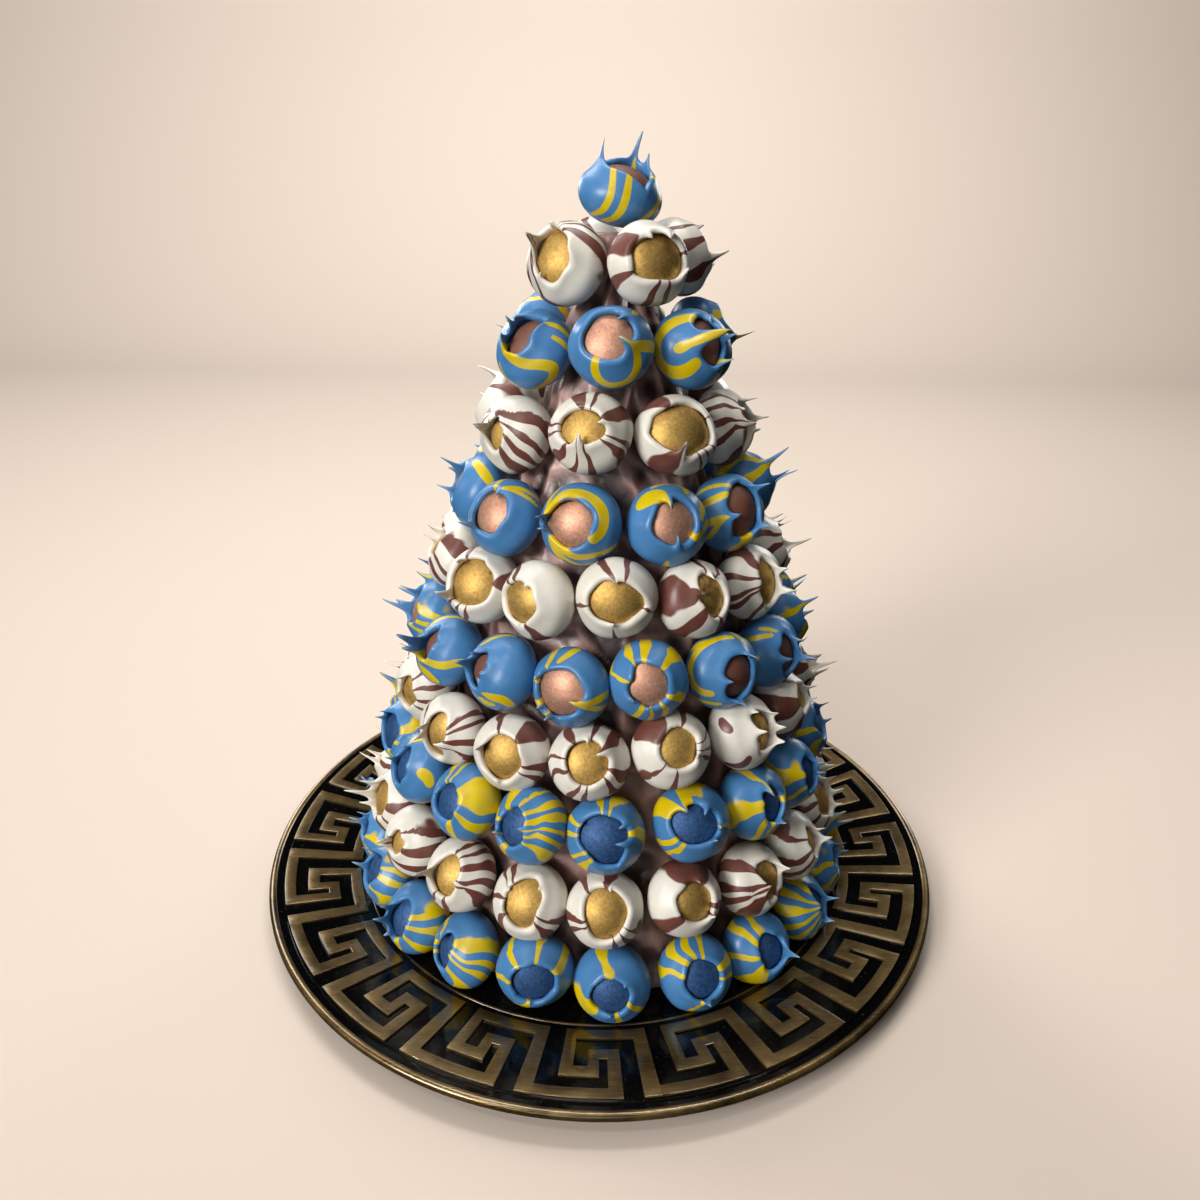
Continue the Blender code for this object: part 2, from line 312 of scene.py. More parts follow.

# How each shell in view was set, pulled and poured, by ring and place in it. Clock angles run
# clockwise from the top of the mouth, off is degrees away from the middle of the mouth.
#   az, up       moved sideways in degrees and up in mm
#   yaw, faces   mouth turned sideways and upwards in degrees
#   mouth        width and height in mm; shift and corners move or stretch it by (clock, mm)
#   ragged       how uneven the edge of the mouth is
#   spikes       (clock, length mm, lean over the mouth in degrees, thickness)
#   pull         factor on the length of all its spikes
#   bareAndShade painted shade: how far its filling is painted the dark colour of bare chocolate, from 0 to 1
#   streaks      (clock, width in degrees) of the second colour, running back from start=(clock, off)
#   twist        how far the streaks turn on their way to the back, in degrees
#   swirl        how far they stray sideways, as a share of the shell's half width
#   lipClear     how much thinner they are on the lip, from 0 to 1
#   bands        (half width mm, [(clock, off), ...]) of the second colour drawn across the shell
#   fine         factor on the number of rows and columns of its mesh
ownShells = {
    1: {
        0: dict(fine=2.2, az=2, up=-1.5, yaw=26, faces=20, mouth=(12, 16), corners=[(340, 4), (215, 2)],
                spikes=[(345, 5, 5, 1.8), (300, 7, -25, 1.8), (210, 3, 60)], start=(335, 38),
                streaks=[(28, 10), (52, 7), (80, 20), (205, 6), (222, 5)]),
        1: dict(fine=1.45, az=-1, up=-0.5, yaw=3, faces=22, mouth=(21, 16), corners=[(245, 2)],
                spikes=[(25, 6, 65, 2.4), (122, 5, 15, 1.6), (330, 3, 60, 1.5)],
                streaks=[(290, 52), (243, 15), (193, 10), (172, 9), (85, 16)], twist=8),
        2: dict(spikes=[(245, 9, -10, 1.5), (200, 3, 20), (330, 4, 0, 1.5)],
                streaks=[(200, 12), (246, 9), (288, 12), (322, 8), (10, 12), (150, 8)]),
    },
    2: {
        0: dict(bareAndShade=1.0, az=-2, up=-3, yaw=30, faces=34, mouth=(6, 12), corners=[(35, 5), (215, 3)],
                spikes=[(310, 6, -10), (345, 5, 40, 1.4), (235, 6, 30, 1.4)],
                bands=[(1.9, [(250, 34), (200, 34), (160, 42), (126, 58), (118, 78), (140, 96),
                              (175, 104)]),
                       (1.0, [(48, 42), (58, 62), (72, 88)]), (0.8, [(78, 48), (82, 66), (90, 92)]),
                       (1.2, [(300, 42), (285, 62), (262, 90)]),
                       (0.6, [(225, 60), (190, 92), (170, 108)])]),
        1: dict(up=1.5, yaw=-5, faces=32, mouth=(16.5, 16),
                spikes=[(38, 6, 60, 1.3), (112, 6, 80, 1.6)],
                bands=[(1.7, [(205, 38), (198, 60), (182, 82), (158, 84), (136, 72), (122, 55), (108, 44)]),
                       (1.9, [(108, 46), (98, 56), (92, 74), (90, 92)]), (1.0, [(40, 55), (36, 68)])]),
        2: dict(bareAndShade=1.0, az=3, up=-1.5, yaw=-24, faces=28, mouth=(11, 18),
                spikes=[(262, 15, 62, 2.2), (158, 10, -5), (95, 8, 0), (20, 4, 60)],
                bands=[(2.8, [(340, 36), (318, 56), (290, 84), (262, 92), (236, 84), (222, 60), (218, 44)]),
                       (2.3, [(262, 52), (262, 26)]), (1.0, [(150, 44), (162, 72), (172, 104)]),
                       (1.1, [(20, 50), (5, 72), (350, 96)])]),
        3: dict(spikes=[(215, 10, 0), (190, 6, 0)], streaks=[(215, 9), (290, 7)]),
    },
    3: {
        0: dict(streaks=[(40, 6)]),
        1: dict(az=-4, up=-4, yaw=18, faces=22, mouth=(5, 12), shift=(180, 2),
                spikes=[(272, 7, 10, 1.3), (345, 4, 60, 1.3), (250, 4, 10)], start=(300, 24),
                streaks=[(62, 20), (93, 10), (116, 13), (140, 15), (248, 8), (285, 14)]),
        2: dict(up=2, yaw=-5, faces=27, mouth=(16, 12), corners=[(215, 2)],
                spikes=[(185, 6, 84, 2.0), (75, 3, 70)],
                streaks=[(335, 28), (4, 9), (52, 18), (98, 6), (112, 10), (165, 7), (193, 8), (217, 10),
                         (256, 8), (276, 9)], twist=14),
        3: dict(yaw=-10, faces=29, mouth=(23.5, 18), corners=[(190, 2)], spikes=[(200, 7, 85, 2.0)],
                streaks=[(212, 50), (335, 30), (78, 9), (126, 7), (143, 6), (158, 6)], twist=-8),
        4: dict(az=5, up=-4, yaw=-16, faces=12, mouth=(10, 19),
                spikes=[(10, 7, 0), (330, 3, 0), (120, 4, 10), (75, 7, 0), (290, 6, 50, 1.3)],
                streaks=[(318, 8), (292, 9), (268, 12), (215, 22), (345, 7)]),
    },
    4: {
        0: dict(az=4, spikes=[(305, 9, 0), (285, 4, 0), (220, 7, 0)],
                bands=[(2.0, [(20, 50), (45, 72), (60, 95)]),
                       (1.5, [(250, 50), (200, 62), (150, 85)])]),
        1: dict(az=-2, up=-4, yaw=12, faces=32, mouth=(14, 16),
                spikes=[(215, 9, -10, 1.3), (10, 3, 70, 1.3)],
                bands=[(1.1, [(345, 40), (338, 60), (350, 86)]), (0.9, [(12, 40), (32, 60), (52, 90)]),
                       (0.7, [(20, 38), (46, 56), (64, 84)]),
                       (0.9, [(265, 50), (225, 66), (200, 92)])]),
        2: dict(yaw=-10, faces=20, mouth=(15, 17), corners=[(262, 5)],
                spikes=[(275, 8, 0), (250, 6, 0)],
                bands=[(1.0, [(276, 42), (300, 56), (330, 74), (350, 95)]),
                       (1.2, [(282, 40), (305, 64), (318, 92)]),
                       (1.9, [(290, 42), (340, 46), (20, 50), (60, 52), (92, 50), (118, 42)]),
                       (1.5, [(228, 42), (180, 50), (140, 62), (112, 90)]),
                       (1.0, [(222, 46), (186, 66), (150, 92)]),
                       (0.9, [(222, 48), (200, 70), (182, 98)])]),
        3: dict(yaw=-8, faces=24, mouth=(15, 16), spikes=[(350, 6, 85, 1.3), (175, 6, 85, 1.2)],
                bands=[(3.3, [(305, 62), (322, 54), (338, 50)]),
                       (1.1, [(338, 72), (8, 78), (32, 66), (30, 52)]),
                       (1.5, [(85, 42), (70, 58), (62, 84)]), (1.2, [(130, 42), (100, 54), (84, 84)]),
                       (0.8, [(190, 66), (188, 96)])]),
        4: dict(bareAndShade=1.0, az=2, up=-3, yaw=-22, faces=21, mouth=(14, 18), corners=[(215, 2), (10, 2)],
                spikes=[(40, 10, 0), (145, 7, 0), (262, 5, 70, 1.4)],
                bands=[(1.3, [(320, 42), (300, 56), (285, 90)]),
                       (0.8, [(345, 44), (325, 66), (308, 96)]),
                       (1.2, [(270, 40), (262, 60), (262, 90)]),
                       (0.8, [(262, 46), (245, 66), (240, 92)]),
                       (2.0, [(178, 44), (188, 62), (195, 76)]), (1.3, [(90, 44), (85, 60)])]),
        5: dict(spikes=[(310, 12, 0), (245, 8, 0), (160, 11, 0)],
                streaks=[(330, 9), (290, 12), (215, 8)]),
    },
    5: {
        0: dict(az=-2, up=-2, spikes=[(280, 7, 0), (245, 6, 0)],
                streaks=[(60, 26), (100, 10), (130, 14), (250, 10)]),
        1: dict(up=-3, yaw=28, faces=26, mouth=(17, 17), corners=[(230, 3), (20, 2)],
                spikes=[(235, 10, 0, 1.3), (320, 6, 30)],
                streaks=[(70, 34), (335, 8), (178, 7), (198, 6), (216, 8)]),
        2: dict(up=-1, yaw=-12, faces=12, mouth=(17, 14), shift=(270, 2),
                spikes=[(180, 2, 30), (10, 2, 60)], streaks=[(325, 14), (308, 5), (158, 20)],
                twist=-20),
        3: dict(az=-1, up=3, yaw=-4, faces=14, mouth=(18, 15), corners=[(100, 2)], ragged=0.3,
                spikes=[(0, 2, 60, 1.4), (185, 3, 40, 1.5)],
                streaks=[(343, 11), (22, 11), (262, 7), (102, 6), (182, 6)]),
        4: dict(bareAndShade=0.69, up=-1, yaw=4, faces=23, mouth=(11, 16), shift=(60, 2), ragged=0.4,
                spikes=[(20, 4, 50), (300, 3, 70)],
                streaks=[(292, 62), (230, 25), (160, 18), (18, 8), (44, 6)]),
        5: dict(az=3, up=-4, yaw=-18, faces=17, mouth=(9, 18), spikes=[(50, 6, 0), (135, 9, 0)],
                streaks=[(340, 18), (302, 8), (262, 9), (250, 6), (215, 8)], lipClear=0.2),
        6: dict(spikes=[(135, 11, 0), (40, 6, 0)],
                streaks=[(320, 10), (290, 16), (250, 10), (215, 12)]),
    },
    6: {
        0: dict(up=1, spikes=[(290, 8, 0), (245, 6, 0), (230, 12, 0)],
                streaks=[(80, 9), (96, 8), (112, 8)], start=(270, 35)),
        1: dict(bareAndShade=1.0, az=-3, up=-5, yaw=14, faces=34, mouth=(4, 12),
                spikes=[(245, 12, 0, 1.4), (205, 9, 0)],
                bands=[(1.5, [(225, 30), (130, 42), (98, 62), (92, 88)]),
                       (2.4, [(190, 44), (168, 58), (160, 68)]),
                       (0.9, [(300, 30), (345, 52), (20, 80)])]),
        2: dict(bareAndShade=1.0, az=1, up=-1, yaw=-14, faces=27, mouth=(6, 13), shift=(250, 3),
                spikes=[(310, 5, 10), (265, 7, -10, 1.8), (160, 4, 60, 1.3)],
                bands=[(1.0, [(318, 34), (345, 58), (5, 88)]),
                       (1.9, [(160, 36), (138, 48), (125, 60), (128, 84)]),
                       (1.4, [(150, 62), (165, 58), (178, 50)])]),
        3: dict(up=-1.5, yaw=-15, faces=13, mouth=(18, 18),
                spikes=[(290, 4, 0), (225, 4, 0), (195, 8, 15), (105, 6, 80, 1.3)],
                bands=[(1.1, [(325, 46), (330, 66), (335, 92)]), (1.2, [(348, 48), (0, 66), (6, 90)]),
                       (1.3, [(104, 44), (92, 62), (84, 92)]), (0.9, [(108, 48), (108, 70), (104, 94)]),
                       (1.3, [(282, 42), (285, 50)]), (1.2, [(235, 46), (240, 58)]),
                       (1.1, [(205, 50), (215, 66)])]),
        4: dict(az=-1, up=2, yaw=-13, faces=16, mouth=(13, 15), ragged=0.4,
                spikes=[(225, 3, 0), (180, 2, 0)],
                streaks=[(318, 9), (345, 17), (32, 20), (118, 10), (145, 8), (170, 9), (196, 10),
                         (285, 7)], twist=18, lipClear=0.5),
        5: dict(bareAndShade=1.0, up=-0.5, yaw=-10, faces=10, mouth=(12, 16), shift=(100, 2),
                spikes=[(30, 7, 0, 1.2), (175, 8, 0, 1.3), (270, 3, 60)],
                bands=[(1.7, [(8, 66), (335, 78), (305, 88), (275, 84), (252, 66), (240, 46)]),
                       (1.4, [(340, 72), (322, 92), (308, 112)]),
                       (1.1, [(210, 50), (228, 70), (240, 90)]), (1.0, [(30, 60), (15, 84)])]),
        6: dict(bareAndShade=1.0, az=3, up=-5, yaw=-20, faces=12, mouth=(8, 16),
                spikes=[(35, 6, 0), (110, 9, 0), (270, 5, 60, 1.5)],
                bands=[(0.9, [(330, 46), (312, 70), (300, 98)]), (0.7, [(345, 46), (328, 74)]),
                       (1.1, [(280, 60), (275, 84)])]),
        7: dict(spikes=[(310, 8, 0), (135, 6, 0)], streaks=[(300, 8), (250, 8)]),
    },
    7: {
        0: dict(yaw=30, faces=10, mouth=(8, 13), spikes=[(240, 5, 0), (330, 4, 0)],
                streaks=[(70, 8), (95, 9), (120, 8), (30, 6)]),
        1: dict(az=-1, up=-5, yaw=15, faces=8, mouth=(9, 19),
                spikes=[(300, 6, 0), (265, 7, 10), (110, 5, 60, 1.8)],
                streaks=[(78, 13), (52, 5), (40, 5), (112, 10), (310, 8)], lipClear=0.6),
        2: dict(up=-2.5, yaw=8, faces=17, mouth=(15, 17), spikes=[(290, 6, 0, 1.2), (185, 2, 20, 1.5)],
                streaks=[(335, 8), (35, 28), (92, 16), (114, 7)], twist=22),
        3: dict(up=-1, yaw=2, faces=32, mouth=(15, 16), ragged=0.3,
                spikes=[(58, 6, 80, 2.0), (0, 3, 60)],
                streaks=[(325, 20), (14, 12), (46, 22), (108, 18), (134, 10), (180, 7), (203, 9),
                         (246, 11), (272, 5)]),
        4: dict(az=-1, up=3, yaw=-7, faces=30, mouth=(13, 14), shift=(60, 1), ragged=0.8,
                spikes=[(112, 3, 10)],
                streaks=[(320, 50), (24, 9), (66, 5), (86, 6), (104, 6), (186, 9), (232, 5)]),
        5: dict(bareAndShade=0.69, up=1, yaw=8, faces=24, mouth=(10, 15), ragged=0.5, lipClear=1.0,
                spikes=[(350, 4, 0, 1.3), (50, 5, 0, 1.3), (105, 7, 0, 1.4), (150, 5, 0, 1.4),
                        (285, 5, 30, 1.3)],
                bands=[(1.9, [(294, 64), (300, 74), (308, 82)]),
                       (1.9, [(228, 50), (222, 70), (235, 98)])]),
        6: dict(spikes=[(80, 6, 0), (130, 4, 0)], streaks=[(280, 46), (220, 12), (340, 8)]),
    },
    8: {
        0: dict(yaw=20, spikes=[(285, 5, 0), (320, 4, 0)], streaks=[(60, 22), (100, 8), (150, 8)]),
        1: dict(az=-1, yaw=12, mouth=(6, 16), spikes=[(285, 6, 0), (350, 4, 0)],
                bands=[(2.3, [(82, 40), (84, 54), (98, 66)]), (0.8, [(345, 44), (0, 74)]),
                       (0.7, [(358, 44), (18, 74)]), (1.1, [(200, 60), (160, 78), (130, 98)])]),
        2: dict(yaw=-2, faces=32, mouth=(11, 13), shift=(240, 2), spikes=[(270, 2, 20)],
                streaks=[(326, 7), (344, 8), (60, 56), (116, 13), (160, 9)], lipClear=0.2),
        3: dict(yaw=-18, faces=26, mouth=(11, 14), shift=(250, 1.5), spikes=[(235, 4, 0), (75, 3, 70)],
                streaks=[(325, 22), (0, 9), (28, 14), (50, 18), (74, 8), (92, 10), (114, 12), (196, 14),
                         (226, 8), (276, 12)], lipClear=0.3),
        4: dict(yaw=-5, faces=29, mouth=(18, 17), corners=[(150, 2)],
                spikes=[(98, 7, 82, 1.5), (55, 4, 60), (300, 3, 0)],
                streaks=[(350, 5), (8, 4), (78, 12), (200, 14), (222, 7), (262, 10), (285, 9)],
                twist=25, lipClear=0.3),
        5: dict(up=1, yaw=-12, faces=34, mouth=(17, 14), shift=(250, 1),
                spikes=[(140, 6, 0, 1.2), (105, 3, 0), (320, 4, 70, 1.5), (35, 5, 60, 1.4)],
                streaks=[(352, 42), (298, 24), (236, 14), (216, 7), (105, 12)], lipClear=0.1),
        6: dict(az=1, up=-1, yaw=-8, faces=27, mouth=(9, 13), shift=(100, 2),
                spikes=[(0, 6, 50, 1.3), (165, 7, 10, 1.2)],
                streaks=[(280, 46), (352, 9), (212, 12), (190, 9), (90, 16)], lipClear=0.1),
        7: dict(up=-3, mouth=(8, 15), spikes=[(65, 4, 0), (115, 5, 0)],
                streaks=[(288, 34), (235, 9), (205, 8)]),
        8: dict(spikes=[(60, 6, 0), (120, 5, 0)], streaks=[(285, 16), (240, 10)]),
    },
    9: {
        0: dict(yaw=10, spikes=[(290, 8, 0), (250, 12, 0), (220, 6, 0)],
                streaks=[(80, 26), (120, 8), (150, 8)]),
        1: dict(az=-2, up=-3, yaw=15, mouth=(6, 9), spikes=[(235, 5, 0), (265, 7, 0)],
                streaks=[(80, 26), (118, 12), (145, 9), (50, 4)], start=(250, 40)),
        2: dict(yaw=5, faces=32, mouth=(10, 16), spikes=[(262, 12, 0, 1.2), (100, 2, 60)],
                streaks=[(4, 9), (26, 8), (50, 14), (76, 14), (104, 20), (172, 16), (205, 8)],
                twist=18),
        3: dict(yaw=-1, faces=34, mouth=(13, 18), ragged=0.6, spikes=[(300, 2, 40, 1.4), (40, 2, 30)],
                streaks=[(330, 12), (312, 6), (215, 22), (140, 18), (118, 8), (268, 8)]),
        4: dict(yaw=2, faces=33, mouth=(15, 19), spikes=[(10, 2, 50)],
                streaks=[(6, 26), (318, 12), (262, 13), (244, 5), (142, 10), (124, 6), (164, 6)]),
        5: dict(yaw=5, faces=28, mouth=(14, 14), spikes=[(140, 4, 0, 1.4), (20, 2, 30)],
                streaks=[(20, 78), (246, 30), (118, 10), (138, 9)], lipClear=0.1),
        6: dict(az=2, up=-4, faces=24, mouth=(10, 16), shift=(80, 2),
                spikes=[(72, 6, 0, 1.5), (262, 4, 70, 1.4)],
                streaks=[(322, 16), (290, 14), (268, 18), (228, 36), (160, 8)], twist=-10,
                lipClear=0.2),
        7: dict(az=2, up=-4, mouth=(7, 12), spikes=[(115, 6, 0, 1.3), (60, 6, 0)],
                streaks=[(312, 8), (262, 14), (236, 12)]),
        8: dict(spikes=[(60, 6, 0), (110, 7, 0), (150, 5, 0)],
                streaks=[(290, 12), (250, 14), (215, 8)]),
    },
    10: {
        0: dict(spikes=[(290, 6, 0), (250, 8, 0)], streaks=[(85, 10), (120, 8)]),
        1: dict(spikes=[(300, 7, 0), (240, 7, 0)], streaks=[(75, 12), (110, 8), (60, 6)]),
        2: dict(az=-1, up=-2, yaw=8, faces=30, mouth=(8, 15),
                spikes=[(240, 8, 0, 1.2), (300, 8, 0, 1.2), (195, 5, 0)],
                streaks=[(45, 14), (72, 16), (120, 13), (165, 8)], lipClear=0.2),
        3: dict(az=-1, yaw=-16, faces=30, mouth=(7, 13), shift=(250, 2), ragged=0.8,
                spikes=[(320, 4, 50, 1.6)],
                streaks=[(48, 22), (74, 9), (92, 9), (142, 24), (300, 12), (262, 14), (236, 8)],
                twist=20, lipClear=0.2),
        4: dict(up=2.5, yaw=16, faces=17, mouth=(16, 14), shift=(190, 1), ragged=0.7,
                spikes=[(190, 2, 10)], streaks=[(318, 8), (10, 9), (58, 16), (200, 26), (262, 12)],
                lipClear=0.5),
        5: dict(up=-1.5, yaw=-8, faces=26, mouth=(13, 12), shift=(180, 2), ragged=0.7,
                spikes=[(178, 3, 0, 1.4), (60, 2, 30)],
                streaks=[(235, 46), (338, 15), (160, 7), (118, 10)], lipClear=0.2),
        6: dict(az=1, up=-2.5, yaw=-8, faces=28, mouth=(14, 14), spikes=[(176, 6, 0, 1.5)],
                streaks=[(282, 10), (318, 14), (340, 10), (2, 11), (66, 20), (100, 7), (196, 9)],
                lipClear=0.3),
        7: dict(az=1, up=-4.5, yaw=-12, faces=28, mouth=(10, 14), shift=(80, 1.5), ragged=0.4,
                spikes=[(105, 9, 0, 1.2)], streaks=[(206, 46), (268, 12), (312, 15), (346, 12)],
                lipClear=0.1),
        8: dict(az=2, up=-4, yaw=4, faces=26, mouth=(5, 17), shift=(90, 2),
                spikes=[(100, 7, 0), (175, 5, 0)],
                streaks=[(345, 13), (318, 13), (292, 13), (264, 13), (232, 12), (205, 9)],
                lipClear=0.1),
        9: dict(spikes=[(70, 6, 0), (110, 6, 0)], streaks=[(300, 10), (260, 12), (230, 10)]),
    },
}

topShell = dict(
    height=317.8, width=33.4, nod=10.0, right=13.0,
    mouth=(17, 15), corners=[(140, 4)],
    spikes=[(272, 9, -2, 1.1), (12, 13, 0), (52, 6, 0, 1.1), (92, 2, 30)],
    bands=[(1.1, [(211, 36), (196, 60), (193, 87), (202, 113), (226, 128)]),
           (1.2, [(172, 40), (172, 62), (173, 92), (180, 118), (207, 138)]),
           (1.2, [(95, 40), (108, 66), (122, 92), (140, 118)]),
           (1.4, [(20, 44), (2, 68), (340, 92), (325, 118)]),
           (0.9, [(300, 50), (310, 76), (330, 100)])],
    # its filling lies in shade and is painted dark all over: painted shade
    seed=3, bareAndShade=1.0, pull=1.0)

# what a shell gets where neither its own settings nor usualShell say otherwise
shellDefaults = dict(ragged=0.0, seed=0, swirl=0.2, pull=1.15)
lipClears = dict(blue=0.2, ivory=0.75)


def usualShell(number, rng):
    # what a shell is like where nothing is said about it
    blue = number % 2 == 0
    spikes = []
    for clock in rng.sample(range(0, 360, 30), rng.choice((2, 2, 3, 3, 4, 5))):
        reach = rng.uniform(3.5, 12.0)
        over = rng.choice((0, 0, 10, 20, 75)) if reach < 6.5 else rng.choice((0, 5, 15))
        spikes.append((clock + rng.uniform(-10, 10), reach, over, rng.uniform(0.9, 1.5)))
    wide = rng.uniform(10.0, 17.0)
    clock = rng.uniform(0, 30)
    streaks = []
    while clock < 350:
        if blue and number < 8:
            thick, gap = rng.choice((6, 8, 10, 14)), rng.uniform(30, 90)
        else:
            thick, gap = rng.choice((6, 8, 10, 12, 16, 24, 40)), rng.uniform(10, 45)
        if clock + thick < 358:
            streaks.append((clock + thick / 2, thick))
        clock += thick + gap
    return dict(
        az=rng.uniform(-1, 1), up=rng.uniform(-1, 1), yaw=rng.uniform(-10, 10),
        faces=rng.uniform(16, 34), mouth=(wide, wide * rng.uniform(0.85, 1.15)),
        spikes=spikes, streaks=streaks, twist=rng.uniform(-25, 25),
        start=(rng.uniform(0, 360), rng.choice((0, 0, 20, 35))),
        lipClear=lipClears["blue" if blue else "ivory"],
        ragged=rng.choice((0.0, 0.0, 0.0, 0.5)), swirl=0.35, seed=rng.randrange(90))


def clockGap(clocks, middle):
    # signed angle from middle to each clock, in radians, wrapped to half a turn
    return (clocks - middle + math.pi) % math.tau - math.pi


def spikesOf(shell):
    # clock in radians, length, lean in radians and thickness of each spike
    full = [(*spike, 1.0)[:4] for spike in shell["spikes"]]
    return [(math.radians(clock), reach * shell["pull"], math.radians(over), thick)
            for clock, reach, over, thick in full]


def columnClocks(shell, count):
    # clock angles round the mouth, crowded where a spike needs fine mesh
    fine = np.linspace(0, math.tau, 721)        # every half degree
    density = np.ones_like(fine)
    for clock, *_ in spikesOf(shell):
        gap = clockGap(fine, clock) / spikeForm["crowdWidth"]
        density += spikeForm["crowding"] * np.exp(-gap ** 2)
    total = np.concatenate([[0], np.cumsum((density[1:] + density[:-1]) / 2)])
    start = 0.0
    if shell["spikes"]:             # one column stands exactly on the first spike
        start = np.interp(math.radians(shell["spikes"][0][0]) % math.tau, fine, total) / total[-1]
    wanted = (start + np.arange(count) / count) % 1.0
    return np.unwrap(np.interp(wanted * total[-1], total, fine), period=math.tau)


def ringNoise(clocks, pace, seed):
    # even noise round the mouth that joins up with itself
    return np.array([noise.noise((pace * math.sin(c), pace * math.cos(c), seed)) for c in clocks])


def placeNoise(points, pace, offset, field=noise.noise):
    return np.array([field((p[0] * pace, p[1] * pace, p[2] * pace + offset)) for p in points])


def unitRows(rows):
    return rows / np.linalg.norm(rows, axis=1)[:, None]


def mouthRadius(clocks, shell):
    wide, tall = shell["mouth"][0] / 2, shell["mouth"][1] / 2
    radius = wide * tall / np.sqrt((tall * np.sin(clocks)) ** 2 + (wide * np.cos(clocks)) ** 2)
    shiftClock, shift = shell.get("shift", (0, 0))
    radius = radius + shift * np.cos(clocks - math.radians(shiftClock))
    cornerWidth = 0.38                          # in radians round the mouth
    for clock, stretch in shell.get("corners", []):
        gap = np.abs(clockGap(clocks, math.radians(clock)))
        radius = radius + stretch * np.exp(-gap / cornerWidth)
    seed = shell["seed"] * 3.7
    radius = radius * (1 + shellForm["mouthWobble"] * ringNoise(clocks, 1.1, seed))
    radius = radius + 0.5 * shell["ragged"] * ringNoise(clocks, 5.0, seed)
    return np.maximum(radius, shellForm["mouthLeast"])


def lipRadius(clocks, shell):
    # the rolled lip is up to half as thick again in places
    swing = shellForm["lipSwing"] * ringNoise(clocks, 1.1, 40.0 + shell["seed"])
    return shellForm["lip"] * (1 + swing)


def shellSurface(shell, width):
    # rows run from the back pole over the lip and down to the floor under the filling
    form = shellForm
    fine = shell.get("fine", form["bandFine"] if "bands" in shell else 1.0)
    clocks = columnClocks(shell, round(form["columns"] * fine))
    outerRows = round(form["outerRows"] * fine)
    across = np.stack([np.sin(clocks), np.cos(clocks)])
    halves = np.array([width / 2, form["height"] / 2])
    girth = np.hypot(*(across * halves[:, None]))          # half width at each clock
    mouth = mouthRadius(clocks, shell)
    lip = lipRadius(clocks, shell)
    edgeAngle = math.pi - np.arcsin(np.clip((mouth + 2 * lip) / girth, 0.05, 0.95))
    radial, axial = [], []
    for step in range(outerRows):
        share = 1 - (1 - (step + 1) / outerRows) ** 1.3       # rows close up towards the lip
        angle = edgeAngle * share
        depth = np.where(np.cos(angle) > 0, form["back"], form["front"])
        radial.append(girth * np.sin(angle))
        axial.append(-depth * np.cos(angle))
    slopeOut = girth * np.cos(edgeAngle)
    slopeUp = form["front"] * np.sin(edgeAngle)
    length = np.hypot(slopeOut, slopeUp)
    alongR, alongZ = slopeOut / length, slopeUp / length      # towards the mouth
    outR, outZ = alongZ, -alongR                              # away from the shell
    middleR, middleZ = radial[-1] - outR * lip, axial[-1] - outZ * lip
    for step in range(1, form["lipRows"] + 1):
        turn = math.radians(form["lipTurn"]) * step / form["lipRows"]
        radial.append(middleR + lip * (outR * math.cos(turn) + alongR * math.sin(turn)))
        axial.append(middleZ + lip * (outZ * math.cos(turn) + alongZ * math.sin(turn)))
    lastR, lastZ = radial[-1], axial[-1]
    floorZ = coreHeight(lastR + 1.0) - form["floorDrop"]
    for step in range(1, form["innerRows"] + 1):
        share = step / form["innerRows"]
        radial.append(lastR + 0.8 * share)                    # the wall widens a little as it goes down
        axial.append(lastZ + (floorZ - lastZ) * share)
    radial, axial = np.array(radial), np.array(axial)
    points = np.stack([radial * across[0], radial * across[1], axial], axis=-1)
    steps = np.linalg.norm(np.diff(points, axis=0), axis=-1)
    fromBack = np.concatenate([np.zeros((1, len(clocks))), np.cumsum(steps, axis=0)])
    crest = outerRows + form["lipRows"] // 2 - 1
    return clocks, points, fromBack - fromBack[crest], crest


def coreHeight(radius):
    share = np.clip(np.asarray(radius) / shellForm["fillingRadius"], 0, 0.98)
    return shellForm["fillingTop"] * np.sqrt(1 - share ** 2)


def pullSpikes(points, clocks, acrossLip, crest, shell):
    # draws the soft lip out to points, wide at the root, and tells how thin each place is
    crestRadius = np.hypot(points[crest, :, 0], points[crest, :, 1])
    thin = np.zeros(points.shape[:2])
    moved = np.zeros_like(points)
    axis = np.array([0.0, 0.0, 1.0])
    foot, setOff = spikeForm["foot"], spikeForm["setOff"]
    for clock, reach, bend, thick in spikesOf(shell):
        alongLip = crestRadius * np.abs(clockGap(clocks, clock))
        away = np.hypot(alongLip[None, :], acrossLip * 1.1) / thick
        root = spikeForm["root"] + spikeForm["rootPerReach"] * reach
        stalk = 1 / (1 + (away / root) ** spikeForm["taper"])
        pull = (1 - foot) * stalk + foot * np.exp(-away / spikeForm["footReach"])
        pull = pull / pull.max()
        outward = np.array([math.sin(clock), math.cos(clock), 0.0])
        sideways = np.array([math.cos(clock), -math.sin(clock), 0.0])
        side = 1.0 if bend < 0.8 else -1.0      # hooks that lie over the mouth lean in from the start
        first = axis * math.cos(setOff) + outward * math.sin(setOff) * side
        last = (axis * math.cos(bend) - outward * math.sin(bend)
                + sideways * spikeForm["sway"] * math.sin(clock * 5))
        h = pull[..., None]
        moved += reach * (h * (1 - h) * first + 0.5 * h * h * (first + last))
        thin = np.maximum(thin, pull / thick)
    wave = shellForm["lipWave"] * ringNoise(clocks, 1.3, 70.0 + shell["seed"])[None, :]
    wave = wave * np.exp(-np.abs(acrossLip) / 3.0)
    # a swell at the lip, with a valley 6 mm outside it
    swell = np.exp(-(acrossLip / 2.6) ** 2) - 0.6 * np.exp(-((acrossLip + 6.0) / 3.0) ** 2)
    moved += (wave + shellForm["lipRise"] * swell)[..., None] * axis
    return points + moved, thin


